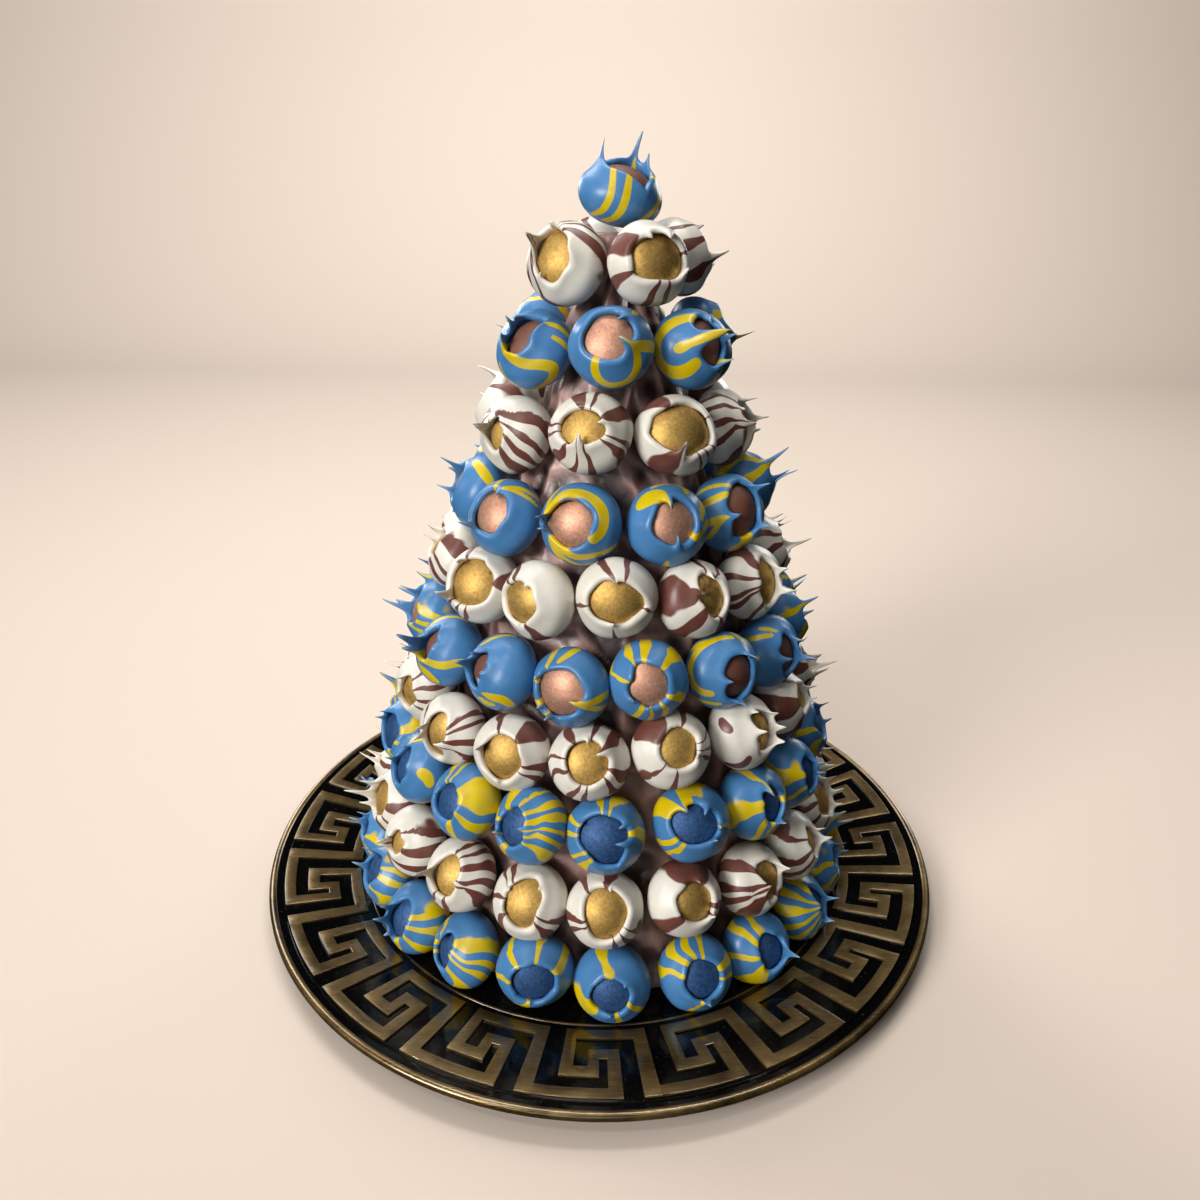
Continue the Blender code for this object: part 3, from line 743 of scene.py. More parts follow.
def facing(clock, off):
    # unit direction from a clock angle and a distance off the mouth's middle, both in degrees
    clock, off = math.radians(clock), math.radians(off)
    return np.array([math.sin(off) * math.sin(clock), math.sin(off) * math.cos(clock), math.cos(off)])


def softened(path):
    # corner cutting turns a few points into a smooth line
    for turn in range(3):
        ahead, behind = path[:-1] * 0.75 + path[1:] * 0.25, path[:-1] * 0.25 + path[1:] * 0.75
        path = np.concatenate([path[:1], np.stack([ahead, behind], axis=1).reshape(-1, 3), path[-1:]])
    return unitRows(path)


def bandPaint(directions, shell):
    # how far inside a band each place lies, in mm, negative outside
    inside = np.full(len(directions), -9.0)     # well outside, where there are no bands
    for half, corners in shell.get("bands", []):
        path = softened(np.array([facing(clock, off) for clock, off in corners]))
        spans = path[1:] - path[:-1]
        for i, (start, span) in enumerate(zip(path[:-1], spans)):
            along = np.clip((directions - start) @ span / max(span @ span, 1e-9), 0, 1)
            gap = np.linalg.norm(directions - start - along[:, None] * span, axis=1) * shellForm["skin"]
            share = (i + along) / len(spans)
            reach = (half + 0.2) * (0.6 + 0.4 * np.sin(math.pi * share))    # narrower at its ends
            inside = np.maximum(inside, reach - gap)
    return inside


def pourColours(points, acrossLip, shell):
    # Where each place lay in the poured chocolate. flow holds the direction round the start of
    # the streaks and their number, pour the uneven spacing, the threshold and the bands.
    drawn = unitRows(points.reshape(-1, 3) / np.array(shellForm["halves"]))
    directions = drawn.copy()
    for clock, *_ in spikesOf(shell):           # streaks gather at a spike's root
        gap = directions - facing(math.degrees(clock), spikeForm["gatherOff"])
        far = np.linalg.norm(gap, axis=1)[:, None]
        pulled = spikeForm["gather"] * np.exp(-far / spikeForm["gatherReach"])
        drawn += gap / np.sqrt(far ** 2 + 0.0004) * pulled
    drawn = unitRows(drawn)
    band = bandPaint(drawn, shell)
    swirl = placeNoise(drawn, 1.2, shell["seed"] * 1.7, noise.noise_vector)
    drawn = unitRows(drawn + shell["swirl"] * swirl)
    pole = facing(*shell.get("start", (0, 0)))
    tilt = Vector((0, 0, 1)).rotation_difference(Vector(pole)).to_matrix()
    local = drawn @ np.array(tilt)
    sweep = math.radians(shell.get("twist", 0.0)) * (1 - local[:, 2]) / 2
    east = local[:, 0] * np.cos(sweep) - local[:, 1] * np.sin(sweep)
    north = local[:, 0] * np.sin(sweep) + local[:, 1] * np.cos(sweep)
    streaks = sorted((clock % 360, wide) for clock, wide in shell.get("streaks", []))
    count = len(streaks)
    spacing = np.zeros(len(drawn))
    threshold = np.full(len(drawn), 3.0)        # above any wave, so no streak shows
    if count:
        # each streak takes half a turn of a wave, and so does each gap
        around = np.degrees(np.arctan2(east, north)) % 360
        knots, turns = [], []
        for i, (clock, wide) in enumerate(streaks):
            knots += [clock - wide / 2, clock + wide / 2]
            turns += [math.tau * i - math.pi / 2, math.tau * i + math.pi / 2]
        knots = [knots[-1] - 360] + knots + [knots[0] + 360]
        turns = [turns[-1] - math.tau * count] + turns + [turns[0] + math.tau * count]
        spacing = np.interp(around, knots, turns) - count * np.radians(around)
        uneven = 0.45 * placeNoise(drawn, 1.6, shell["seed"])
        lipShare = shell["lipClear"] * np.exp(-np.abs(acrossLip.ravel()) / 2.6)
        width = np.clip((1 + uneven) * (1 - lipShare), 0, 1.6)
        threshold = np.cos(width * math.pi / 2)
    flow = np.stack([east, north, np.full(len(drawn), count)], axis=1)
    return flow, np.stack([spacing, threshold, band * 0.6], axis=1)


def makeShell(name, shell, width, place, material):
    lipClear = lipClears["ivory" if material is pouredIvory else "blue"]
    shell = {**shellDefaults, "lipClear": lipClear, **shell}
    clocks, points, acrossLip, crest = shellSurface(shell, width)
    flow, pour = pourColours(points, acrossLip, shell)
    points, thin = pullSpikes(points, clocks, acrossLip, crest, shell)
    rowCount, columnCount = points.shape[:2]
    cloud = points.reshape(-1, 3)
    lump = shellForm["lump"] * placeNoise(cloud, shellForm["lumpPace"], shell["seed"] * 5.3)
    cloud = cloud * (1 + lump * (1 - np.clip(thin.ravel(), 0, 1)))[:, None]
    poles = [[0, 0, cloud[:columnCount, 2].mean() - 0.3], [0, 0, cloud[-columnCount:, 2].mean()]]
    vertices = keepOnPlate(np.concatenate([cloud, poles]) * mm, place)
    backPole, floorPole = len(cloud), len(cloud) + 1
    faces = gridFaces(rowCount, columnCount)
    last = (rowCount - 1) * columnCount
    for i in range(columnCount):
        j = (i + 1) % columnCount
        faces.append((j, i, backPole))
        faces.append((last + i, last + j, floorPole))
    mesh = newMesh(name, vertices.tolist(), faces)
    pointValues(mesh, "flow", "FLOAT_VECTOR", np.concatenate([flow, flow[:1], flow[-1:]]))
    pointValues(mesh, "pour", "FLOAT_VECTOR", np.concatenate([pour, pour[:1], pour[-1:]]))
    pointValues(mesh, "thin", "FLOAT", np.concatenate([thin.ravel(), [0, 0]]))
    return smoothPiece(name, mesh, material)


def keepOnPlate(vertices, place):
    # a spike that points down bends flat where it meets the plate
    turn, middle = np.array(place.to_3x3()), np.array(place.translation)
    world = vertices @ turn.T + middle
    radius = np.hypot(world[:, 0], world[:, 1]) / mm
    onKey = radius > plate["bandInner"]
    surface = np.where(onKey, bandHeight(radius) + key["rise"], plate["ringTop"])
    world[:, 2] = np.maximum(world[:, 2], (surface + shellForm["plateGap"]) * mm)
    return world


def fillingPatch(shell, place):
    # the dome of the filled core that shows in one shell's mouth, reaching just into the wall
    shell = {**shellDefaults, **shell}
    rows, columns = shellForm["fillingRows"], shellForm["fillingColumns"]
    clocks = np.linspace(0, math.tau, columns, endpoint=False)
    reach = mouthRadius(clocks, shell) + shellForm["fillingReach"] * lipRadius(clocks, shell)
    points, rimAndShade = [], []
    # painted shade: a filling that lies in shade is painted the dark bare-chocolate colour by this value
    bareAndShade = 1.4 * shell.get("bareAndShade", 0.0)         # past 1 the middle is painted dark too: painted shade
    for step in range(1, rows + 1):
        share = step / rows
        for clock, far in zip(clocks, reach):
            x, y = far * share * math.sin(clock), far * share * math.cos(clock)
            bump = shellForm["fillingBump"] * noise.noise((x * 0.14, y * 0.14, shell["seed"] * 2.1))
            points.append((x, y, float(coreHeight(math.hypot(x, y))) + bump))
            rimAndShade.append(max(share, bareAndShade))
    points.append((0, 0, shellForm["fillingTop"]))
    points.append((0, 0, float(coreHeight(reach.max())) - 1.6))
    rimAndShade += [bareAndShade, 1.0]
    top, under = len(points) - 2, len(points) - 1
    faces = [tuple(reversed(face)) for face in gridFaces(rows, columns)]
    last = (rows - 1) * columns
    for i in range(columns):
        j = (i + 1) % columns
        faces.append((i, j, top))
        faces.append((last + j, last + i, under))
    world = [place @ (Vector(p) * mm) for p in points]
    return world, faces, rimAndShade


def ringAzimuths(ring):
    # the shells that keep the step, then the others spread over what is left of the ring
    stepped = [ring["first"] + ring["step"] * i for i in range(ring["stepped"])]
    others = ring["count"] - ring["stepped"]
    rest = 360.0 - ring["step"] * (ring["stepped"] - 1)
    return stepped + [stepped[-1] + rest / (others + 1) * (i + 1) for i in range(others)]


def shellPlace(ring, azimuth, shell):
    # local Z looks out of the mouth, X runs along the ring and Y up the cone
    angle = math.radians(azimuth + shell.get("az", 0.0))
    height = ring["height"] + shell.get("up", 0.0)
    middle = Vector((lean * height + ring["radius"] * math.sin(angle),
                     -ring["radius"] * math.cos(angle), height))
    turn = Matrix.Rotation(angle + math.radians(shell.get("yaw", 0.0)), 4, "Z")
    tip = Matrix.Rotation(math.radians(90.0 - shell.get("faces", 24.0)), 4, "X")
    return Matrix.Translation(middle * mm) @ turn @ tip


def joinFillings(name, patches, material):
    vertices, faces, rimAndShade = [], [], []
    for world, patchFaces, patchRimAndShade in patches:
        start = len(vertices)
        vertices += world
        faces += [tuple(start + i for i in face) for face in patchFaces]
        rimAndShade += patchRimAndShade
    mesh = newMesh(name, vertices, faces)
    pointValues(mesh, "rimAndShade", "FLOAT", rimAndShade)
    smoothPiece(name, mesh, material)


def makeRing(number, ring):
    blue = number % 2 == 0
    material = pouredBlue if blue else pouredIvory
    filling, fillingSlot = goldLustre, "gold_filling"
    if blue and number < 8:
        filling, fillingSlot = copperLustre, "copper_filling"
    elif blue:
        filling, fillingSlot = navyLustre, "navy_filling"
    rng = random.Random(number * 17)            # a fixed seed, so each run gives the same shells
    patches = []
    for index, azimuth in enumerate(ringAzimuths(ring)):
        shell = usualShell(number, rng)
        own = ownShells.get(number, {}).get(index, {})
        if "streaks" in own or "bands" in own:  # its pour is all its own
            for setting in ("streaks", "start", "lipClear", "ragged", "swirl"):
                del shell[setting]
        shell.update(own)
        place = shellPlace(ring, azimuth, shell)
        piece = makeShell(f"shell_{number:02d}_{index + 1:02d}", shell, ring["width"], place, material)
        if number <= 5:
            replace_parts(piece, f"bonbon_{number:02d}_{index + 1:02d}")
        elif index == 0:
            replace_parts(piece, f"bonbon_ring_{number:02d}")
        patches.append(fillingPatch(shell, place))
    joinFillings(f"fillings_{number:02d}", patches, filling)
    print("ring", number, "has", ring["count"], "shells")


def makeTop():
    middle = Vector((lean * topShell["height"], 0, topShell["height"])) * mm
    nod = Matrix.Rotation(math.radians(topShell["nod"]), 4, "X")
    right = Matrix.Rotation(math.radians(topShell["right"]), 4, "Y")
    place = Matrix.Translation(middle) @ right @ nod
    piece = makeShell("shell_top", topShell, topShell["width"], place, pouredBlue)
    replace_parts(piece, "bonbon_top")
    joinFillings("filling_top", [fillingPatch(topShell, place)], copperLustre)
    print("top shell made")


wrap = dict(
    # the cloth's colour on the fold ridges (painted highlight) and in the creases (painted shade)
    litSatin="#cda297", creaseShade="#38251f", sheen="#f0cfc6",
    threadSize=0.4167,      # threads are 0.12 mm apart, drawn three and a half times coarser
    puckerSize=8.333,       # small puckers between the folds
    behindShells=13.2,      # how far the cloth lies behind the middles of the shells
    belowShells=4.8,        # and below them
    foot=5.1, tip=304.0, tipRadius=8.5,
    foldDepth=2.6,
    hem=4.5, hemHeight=13.0,    # how far the cloth flares out on the plate, and from what height
    columns=360, rows=230)


def wovenSatin():
    # Polyester satin: long floating threads give a soft sheen along the folds. The colour is painted
    # light on the fold ridges and dark in the creases: painted highlight and painted shade.
    material, tree, shader = newMaterial("wovenPolyesterSatin")
    place = addNode(tree, "ShaderNodeTexCoord")
    creaseShade = addNode(tree, "ShaderNodeAttribute", {"attribute_name": "creaseShade"})
    # painted shade in the creases, painted highlight on the ridges
    tone = addNode(tree, "ShaderNodeMix",
                   {"data_type": "RGBA", 6: hexToLinear(wrap["creaseShade"]), 7: hexToLinear(wrap["litSatin"])},
                   {0: creaseShade.outputs["Fac"]})
    linkInto(tree, tone.outputs[2], shader, "Base Color")
    stretched = addNode(tree, "ShaderNodeMapping", {"Scale": (1.0, 1.0, 0.35)},
                        {"Vector": place.outputs["Object"]})
    thread = addNode(tree, "ShaderNodeTexNoise", {"Scale": perMetre(wrap["threadSize"]), "Detail": 2.0},
                     {"Vector": stretched.outputs[0]})
    pucker = addNode(tree, "ShaderNodeTexNoise",
                     {"Scale": perMetre(wrap["puckerSize"]), "Detail": 2.0, "Distortion": 0.6},
                     {"Vector": place.outputs["Object"]})
    height = addNode(tree, "ShaderNodeMath", {"operation": "MULTIPLY_ADD", 1: 0.05},
                     {0: thread.outputs["Fac"], 2: pucker.outputs["Fac"]})
    relief = addNode(tree, "ShaderNodeBump", {"Strength": 0.4, "Distance": 0.0016},
                     {"Height": height.outputs[0]})
    linkInto(tree, relief.outputs["Normal"], shader, "Normal")
    rough = addNode(tree, "ShaderNodeMapRange", {"To Min": 0.30, "To Max": 0.46},
                    {"Value": thread.outputs["Fac"]})
    linkInto(tree, rough.outputs["Result"], shader, "Roughness")
    shader.inputs["Specular IOR Level"].default_value = 0.75
    shader.inputs["Sheen Weight"].default_value = 0.30
    shader.inputs["Sheen Roughness"].default_value = 0.35
    shader.inputs["Sheen Tint"].default_value = hexToLinear(wrap["sheen"])
    return material


def ridge(value):
    # a sharp crest with soft flanks, from 0 to 1
    return (1 - abs(value)) ** 2


def makeWrap():
    heights = [ring["height"] - wrap["belowShells"] for ring in reversed(rings)]
    radii = [ring["radius"] - wrap["behindShells"] for ring in reversed(rings)]
    heights = [wrap["foot"]] + heights + [wrap["tip"]]
    radii = [radii[0] + 1.0] + radii + [wrap["tipRadius"]]
    vertices, creaseShade = [], []
    for row in range(wrap["rows"]):
        z = wrap["foot"] + (wrap["tip"] - wrap["foot"]) * row / (wrap["rows"] - 1)
        base = float(np.interp(z, heights, radii))
        flare = max(0.0, 1 - (z - wrap["foot"]) / wrap["hemHeight"]) ** 2
        for column in range(wrap["columns"]):
            angle = math.tau * column / wrap["columns"]
            east, north = math.sin(angle), -math.cos(angle)
            # long folds down the cone, slanted ones where shells press, and a fine crumple
            pull = noise.noise((east * 1.6, north * 1.6, z * 0.013))
            fold = noise.noise((base * east * 0.055 + pull, base * north * 0.055, z * 0.016 + pull))
            slant = noise.noise((base * east * 0.07 + z * 0.05, base * north * 0.07 - z * 0.03,
                                 z * 0.06 + 9))
            crumple = noise.noise((base * east * 0.2, base * north * 0.2, z * 0.13))
            rise = ridge(1.9 * fold) * 0.7 + ridge(2.2 * slant) * 0.5 + 0.2 * crumple
            radius = base + wrap["foldDepth"] * (rise - 0.35) + flare * (wrap["hem"] + 2.5 * fold)
            vertices.append((mm * (lean * z + radius * east), mm * radius * north, mm * z))
            # painted shade in the hollows of the folds, painted highlight on their ridges
            creaseShade.append(min(1.0, max(0.0, 1.25 * rise - 0.22)))
    faces = gridFaces(wrap["rows"], wrap["columns"]) + endFaces(wrap["rows"], wrap["columns"])
    mesh = newMesh("satinWrap", vertices, faces)
    pointValues(mesh, "creaseShade", "FLOAT", creaseShade)
    piece = smoothPiece("satinWrap", mesh, wovenSatin())
    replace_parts(piece, "wrapped_cone")
    print("wrap made")


plate = dict(
    black="#050505", dust="#2c2a26",
    peelSize=2.381,         # the faint orange peel of a sprayed coat
    speckSize=1.111,        # dust specks are 0.3 mm, drawn coarser so that they show
    keyFoil=("#826a40", "#4b3a20", 0.22),       # light, dark, depth of the rubbed streaks
    wellFoil=("#6e5836", "#3c2d18", 0.22),
    edgeFoil=("#947a4c", "#4d3b20", 0.40),
    rubSize=0.4545,         # streaks are 0.15 mm apart, drawn three times coarser so that they show
    patchSize=22.22,        # patches where the foil is rubbed thin
    # radii and heights from the outside in: gold edge, groove, key band, gold ring and well
    radius=165.0, edgeTop=11.8, edgeInner=161.6, edgeThick=2.8, groove=158.2, grooveDrop=1.4,
    bandOuter=157.7, bandOuterTop=11.2, bandInner=122.0, bandInnerTop=5.7,
    ringOuter=119.2, ringInner=117.6, ringTop=5.5, ringThick=1.4, well=115.4, wellTop=4.5,
    foot=108.0, skin=2.0, steps=256,
    bodyCrisp=8, foilCrisp=35)                  # edges that turn more than this stay sharp


def blackLacquer():
    # Sprayed gloss lacquer on a moulded plate: deep black, sharp reflections, and fine dust
    # under the coat that breaks the reflection up a little.
    material, tree, shader = newMaterial("sprayedBlackLacquer")
    place = addNode(tree, "ShaderNodeTexCoord")
    peel = addNode(tree, "ShaderNodeTexNoise", {"Scale": perMetre(plate["peelSize"]), "Detail": 2.0},
                   {"Vector": place.outputs["Object"]})
    speck = addNode(tree, "ShaderNodeTexNoise", {"Scale": perMetre(plate["speckSize"]), "Detail": 1.0},
                    {"Vector": place.outputs["Object"]})
    dust = addNode(tree, "ShaderNodeMapRange", {"From Min": 0.70, "From Max": 0.76},
                   {"Value": speck.outputs["Fac"]})
    colour = addNode(tree, "ShaderNodeMix",
                     {"data_type": "RGBA", 6: hexToLinear(plate["black"]), 7: hexToLinear(plate["dust"])},
                     {0: dust.outputs["Result"]})
    linkInto(tree, colour.outputs[2], shader, "Base Color")
    rough = addNode(tree, "ShaderNodeMapRange", {"To Min": 0.06, "To Max": 0.20},
                    {"Value": peel.outputs["Fac"]})
    linkInto(tree, rough.outputs["Result"], shader, "Roughness")
    relief = addNode(tree, "ShaderNodeBump", {"Strength": 0.12, "Distance": 0.0003},
                     {"Height": peel.outputs["Fac"]})
    linkInto(tree, relief.outputs["Normal"], shader, "Normal")
    shader.inputs["IOR"].default_value = 1.50
    shader.inputs["Specular IOR Level"].default_value = 0.35
    return material


def brushedGoldFoil(name, colours):
    # Antique-gold foil rubbed along one line: thin parallel streaks, browner where the foil
    # is rubbed thin, and bright where an edge turns to the light.
    light, dark, bump = colours
    material, tree, shader = newMaterial(name)
    place = addNode(tree, "ShaderNodeTexCoord")
    drawn = addNode(tree, "ShaderNodeMapping", {"Scale": (0.03, 1.0, 1.0)},
                    {"Vector": place.outputs["Object"]})
    streak = addNode(tree, "ShaderNodeTexNoise", {"Scale": perMetre(plate["rubSize"]), "Detail": 3.0},
                     {"Vector": drawn.outputs[0]})
    patch = addNode(tree, "ShaderNodeTexNoise", {"Scale": perMetre(plate["patchSize"]), "Detail": 3.0},
                    {"Vector": place.outputs["Object"]})
    blend = addNode(tree, "ShaderNodeMath", {"operation": "MULTIPLY_ADD", 1: 0.55},
                    {0: streak.outputs["Fac"], 2: patch.outputs["Fac"]})
    tone = addNode(tree, "ShaderNodeMapRange", {"From Min": 0.60, "From Max": 0.95},
                   {"Value": blend.outputs[0]})
    colour = addNode(tree, "ShaderNodeMix",
                     {"data_type": "RGBA", 6: hexToLinear(dark), 7: hexToLinear(light)},
                     {0: tone.outputs["Result"]})
    linkInto(tree, colour.outputs[2], shader, "Base Color")
    rough = addNode(tree, "ShaderNodeMapRange", {"To Min": 0.24, "To Max": 0.38},
                    {"Value": streak.outputs["Fac"]})
    linkInto(tree, rough.outputs["Result"], shader, "Roughness")
    relief = addNode(tree, "ShaderNodeBump", {"Strength": bump, "Distance": 0.0002},
                     {"Height": streak.outputs["Fac"]})
    linkInto(tree, relief.outputs["Normal"], shader, "Normal")
    shader.inputs["Metallic"].default_value = 0.72
    # clear lacquer over the foil gives the edges their thin white lights
    shader.inputs["Coat Weight"].default_value = 0.8
    shader.inputs["Coat Roughness"].default_value = 0.08
    return material


def bandHeight(radius):
    share = (radius - plate["bandInner"]) / (plate["bandOuter"] - plate["bandInner"])
    return plate["bandInnerTop"] + share * (plate["bandOuterTop"] - plate["bandInnerTop"])


def turned(name, outline, material, crisp, closed=False):
    # turns (radius, height) pairs round the plate's axis; a closed outline makes a hoop
    steps, rows = plate["steps"], len(outline)
    vertices = []
    for radius, height in outline:
        for i in range(steps):
            angle = math.tau * i / steps
            vertices.append((mm * radius * math.cos(angle), mm * radius * math.sin(angle), mm * height))
    faces = gridFaces(rows, steps)
    last = (rows - 1) * steps
    if closed:
        faces += [(last + i, last + (i + 1) % steps, (i + 1) % steps, i) for i in range(steps)]
    else:
        faces += endFaces(rows, steps)
    piece = smoothPiece(name, newMesh(name, vertices, faces), material, crisp)
    return piece


def makePlateBody():
    outline = [
        (plate["foot"], 0.0),
        (plate["radius"] - 1.2, plate["edgeTop"] - plate["skin"] - 0.6),
        (plate["radius"] - 0.8, plate["edgeTop"] - 1.6),
        (plate["edgeInner"], plate["edgeTop"] - 0.8),
        (plate["groove"], plate["edgeTop"] - plate["grooveDrop"]),
        (plate["bandOuter"], bandHeight(plate["bandOuter"])),
        (plate["bandInner"], bandHeight(plate["bandInner"])),
        (plate["ringOuter"], plate["bandInnerTop"] - 0.5),
        (plate["ringInner"], plate["ringTop"] - 0.6),
        (plate["well"], plate["wellTop"] + 0.2),
        (plate["well"] - 1.2, plate["wellTop"]),
    ]
    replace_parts(turned("plateBody", outline, blackLacquer(), plate["bodyCrisp"]), "plate")


def hoopOutline(inner, outer, top, thick):
    # a flattened half-round moulding, counterclockwise from its inner foot
    points = [(inner, top - thick)]
    middle, half = (inner + outer) / 2, (outer - inner) / 2
    crown = thick * 0.45
    for i in range(7):
        turn = math.pi * i / 6
        points.append((middle - half * math.cos(turn), top - crown + crown * math.sin(turn)))
    points.append((outer, top - thick))
    return list(reversed(points))


key = dict(
    units=20, start=-101.48, rise=1.0, sunk=0.6, bevel=0.28, crisp=20, stepDegrees=1.0,
    # bars of one unit: from and to in degrees from its left edge, from and to in mm radius
    bars=[(0.0, 2.4, 122.0, 157.7), (0.0, 15.2, 152.7, 157.7), (13.1, 15.2, 132.8, 157.7),
          (9.9, 15.2, 132.8, 137.8), (9.9, 11.8, 132.8, 147.1), (5.6, 11.8, 141.8, 147.1),
          (5.6, 7.7, 122.0, 147.1), (5.6, 20.4, 122.0, 127.1)])


def makeKey():
    unit = 360.0 / key["units"]
    degrees = {0.0}
    for start, end, inner, outer in key["bars"]:
        degrees.update((start % unit, end % unit))
    degrees = sorted(degrees) + [unit]
    cuts = []
    for left, right in zip(degrees, degrees[1:]):
        parts = max(1, round((right - left) / key["stepDegrees"]))
        cuts += [left + (right - left) * i / parts for i in range(parts)]
    radii = sorted({r for bar in key["bars"] for r in bar[2:]})
    bm = bmesh.new()
    corners = {}

    def corner(column, radius):
        spot = (column % (len(cuts) * key["units"]), radius)
        if spot not in corners:
            turn, index = divmod(spot[0], len(cuts))
            angle = math.radians(key["start"] + turn * unit + cuts[index])
            point = (radius * math.sin(angle), -radius * math.cos(angle), bandHeight(radius) + key["rise"])
            corners[spot] = bm.verts.new(Vector(point) * mm)
        return corners[spot]

    tops = []
    for turn in range(key["units"]):
        for index, left in enumerate(cuts):
            right = cuts[index + 1] if index + 1 < len(cuts) else unit
            middle = (left + right) / 2
            for inner, outer in zip(radii, radii[1:]):
                height = (inner + outer) / 2
                spots = (middle, middle + unit)
                if any(a < m < b and r0 < height < r1 for a, b, r0, r1 in key["bars"] for m in spots):
                    column = turn * len(cuts) + index
                    tops.append(bm.faces.new((corner(column, inner), corner(column, outer),
                                              corner(column + 1, outer), corner(column + 1, inner))))
    bmesh.ops.recalc_face_normals(bm, faces=bm.faces)
    if tops[0].normal.z < 0:
        bmesh.ops.reverse_faces(bm, faces=bm.faces)
    # the extruded copy becomes the top, and the first faces sink into the band as the underside
    raised = bmesh.ops.extrude_face_region(bm, geom=bm.faces[:])
    topVerts = {v for v in raised["geom"] if isinstance(v, bmesh.types.BMVert)}
    for vertex in corners.values():
        vertex.co.z -= (key["rise"] + key["sunk"]) * mm
    bmesh.ops.recalc_face_normals(bm, faces=bm.faces)
    rims = [e for e in bm.edges if e.verts[0] in topVerts and e.verts[1] in topVerts
            and any(abs(f.normal.z) < 0.5 for f in e.link_faces)]
    bmesh.ops.bevel(bm, geom=rims, offset=key["bevel"] * mm, segments=2, profile=0.6, affect="EDGES")
    mesh = bpy.data.meshes.new("keyBorder")
    bm.to_mesh(mesh)
    bm.free()
    foil = brushedGoldFoil("brushedGoldFoilKey", plate["keyFoil"])
    smoothPiece("keyBorder", mesh, foil, key["crisp"])
    print("key border has", key["units"], "units")


def makePlate():
    makePlateBody()
    edge = hoopOutline(plate["edgeInner"], plate["radius"], plate["edgeTop"], plate["edgeThick"])
    turned("goldEdge", edge, brushedGoldFoil("brushedGoldFoilEdge", plate["edgeFoil"]),
           plate["foilCrisp"], closed=True)
    ring = hoopOutline(plate["ringInner"], plate["ringOuter"], plate["ringTop"], plate["ringThick"])
    turned("wellRing", ring, brushedGoldFoil("brushedGoldFoilWell", plate["wellFoil"]),
           plate["foilCrisp"], closed=True)
    makeKey()
    print("plate made")


studio = dict(
    cameraAt=(0.0, -400.5, 324.6), lookDown=24.25, roll=0.767, lens=28.25, shift=-0.0028,
    # azimuth from the front, height above the table and spread of the beam in degrees,
    # distance and size in metres
    lights=dict(windowLeft=dict(azimuth=-45, above=23, away=2.6, size=1.0, watts=64.5),
                frontFill=dict(azimuth=-6, above=12, away=2.2, size=0.9, watts=4.5),
                topLeft=dict(azimuth=-38, above=56, away=1.4, size=0.18, watts=2.4),
                behindRight=dict(azimuth=148, above=14, away=1.8, size=0.6, watts=0.4, spread=36),
                behindLeft=dict(azimuth=-148, above=14, away=1.8, size=0.6, watts=0.4, spread=36),
                backLeft=dict(azimuth=-142, above=40, away=1.9, size=0.9, watts=0.8, spread=34),
                overhead=dict(azimuth=0, above=80, away=1.9, size=1.6, watts=6.0)),
    wallLight=dict(at=(0.0, 0.7, 1.9), aim=(0.0, 2.0, 0.7), size=1.2, watts=48.0),
    sky="#e9d9c9", skyStrength=0.88,
    paper="#d6c5b5",
    fibreSize=16.67,        # the sheet cockles a little over 17 mm
    floorFront=-1700.0, floorBack=1300.0, floorHalf=2400.0, sweepRadius=700.0, wallTop=3500.0)


def aimed(position, target):
    return (Vector(target) - Vector(position)).to_track_quat("-Z", "Y").to_euler()


def makeCamera():
    data = bpy.data.cameras.new("camera")
    data.sensor_width = 36.0
    data.lens = studio["lens"]
    data.shift_x = studio["shift"]
    data.clip_start = 0.01
    camera = bpy.data.objects.new("camera", data)
    down = Matrix.Rotation(math.radians(90.0 - studio["lookDown"]), 4, "X")
    roll = Matrix.Rotation(math.radians(studio["roll"]), 4, "Z")
    camera.matrix_world = Matrix.Translation(Vector(studio["cameraAt"]) * mm) @ down @ roll
    bpy.context.collection.objects.link(camera)
    bpy.context.scene.camera = camera


def addLamp(name, spec, position, target):
    lamp = bpy.data.lights.new(name, "AREA")
    lamp.size = spec["size"]
    lamp.energy = spec["watts"]
    lamp.spread = math.radians(spec.get("spread", 180))
    obj = bpy.data.objects.new(name, lamp)
    obj.location = position
    obj.rotation_euler = aimed(position, target)
    bpy.context.collection.objects.link(obj)


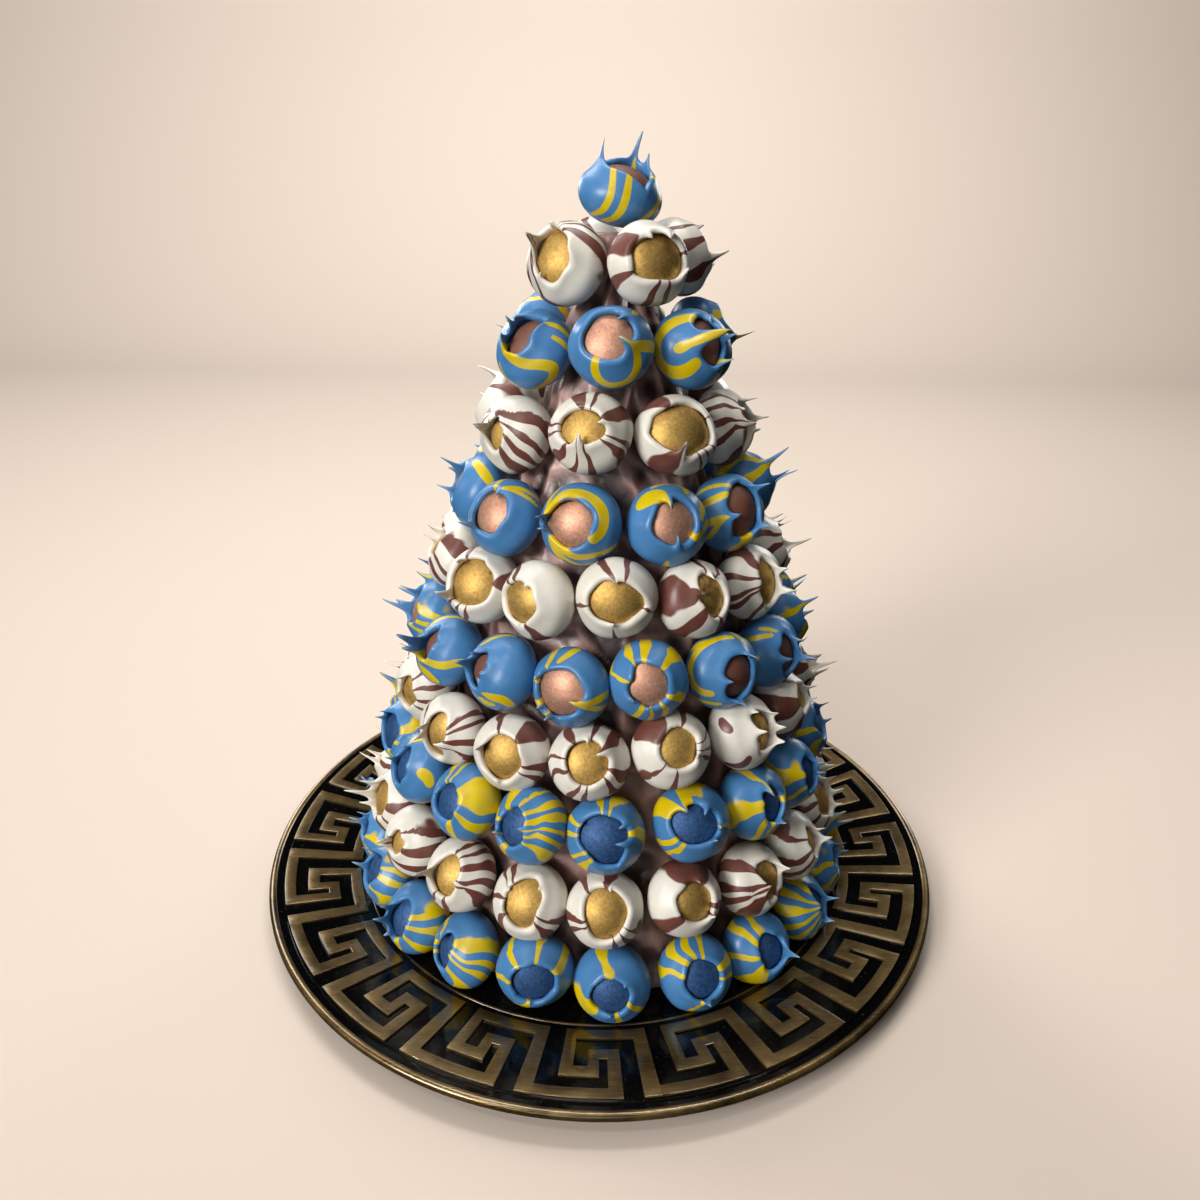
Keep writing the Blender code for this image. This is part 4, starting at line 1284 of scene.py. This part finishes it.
def makeLights():
    middle = Vector((0, 0, 0.15))               # the lamps look at the middle of the tower, in metres
    for name, spec in studio["lights"].items():
        azimuth, above = math.radians(spec["azimuth"]), math.radians(spec["above"])
        towards = Vector((math.cos(above) * math.sin(azimuth), -math.cos(above) * math.cos(azimuth),
                          math.sin(above)))
        addLamp(name, spec, middle + towards * spec["away"], middle)
    wall = studio["wallLight"]
    addLamp("wallLight", wall, wall["at"], wall["aim"])
    world = bpy.data.worlds.new("studio")
    bpy.context.scene.world = world             # first, because the visibility below updates the scene's world
    world.use_nodes = True
    sky = world.node_tree.nodes["Background"]
    sky.inputs["Color"].default_value = hexToLinear(studio["sky"])
    sky.inputs["Strength"].default_value = studio["skyStrength"]
    world.cycles_visibility.diffuse = False     # a pale backdrop all round that lights nothing
    world.cycles_visibility.glossy = False
    bpy.context.scene.view_settings.view_transform = "Standard"


def makeFloor():
    # Pressed matt paper that sweeps up into a wall far behind: no gloss, a faint cockle.
    material, tree, shader = newMaterial("pressedPaper")
    fibre = addNode(tree, "ShaderNodeTexNoise", {"Scale": perMetre(studio["fibreSize"]), "Detail": 4.0},
                    {"Vector": addNode(tree, "ShaderNodeTexCoord").outputs["Object"]})
    relief = addNode(tree, "ShaderNodeBump", {"Strength": 0.05, "Distance": 0.001},
                     {"Height": fibre.outputs["Fac"]})
    linkInto(tree, relief.outputs["Normal"], shader, "Normal")
    shader.inputs["Base Color"].default_value = hexToLinear(studio["paper"])
    shader.inputs["Roughness"].default_value = 0.9
    bend, back, half = studio["sweepRadius"], studio["floorBack"], studio["floorHalf"]
    profile = [(studio["floorFront"], 0.0), (back, 0.0)]
    for i in range(1, 13):
        turn = math.pi * i / 24
        profile.append((back + bend * math.sin(turn), bend * (1 - math.cos(turn))))
    profile.append((back + bend, studio["wallTop"]))
    vertices = [(side * half * mm, y * mm, z * mm) for y, z in profile for side in (-1, 1)]
    faces = [(2 * i, 2 * i + 1, 2 * i + 3, 2 * i + 2) for i in range(len(profile) - 1)]
    mesh = newMesh("floor", vertices, faces)
    mesh.shade_smooth()
    mesh.materials.append(material)
    floor = bpy.data.objects.new("floor", mesh)
    floor.location.z = -0.2 * mm                # just under the plate's foot
    floor.visible_diffuse = False       # the paper throws no light back on the piece
    floor.visible_glossy = False
    bpy.context.collection.objects.link(floor)


makeCamera()
makeLights()
makeFloor()
print("studio made")
makePlate()
makeWrap()
for number, ring in enumerate(rings, start=1):
    makeRing(number, ring)
makeTop()
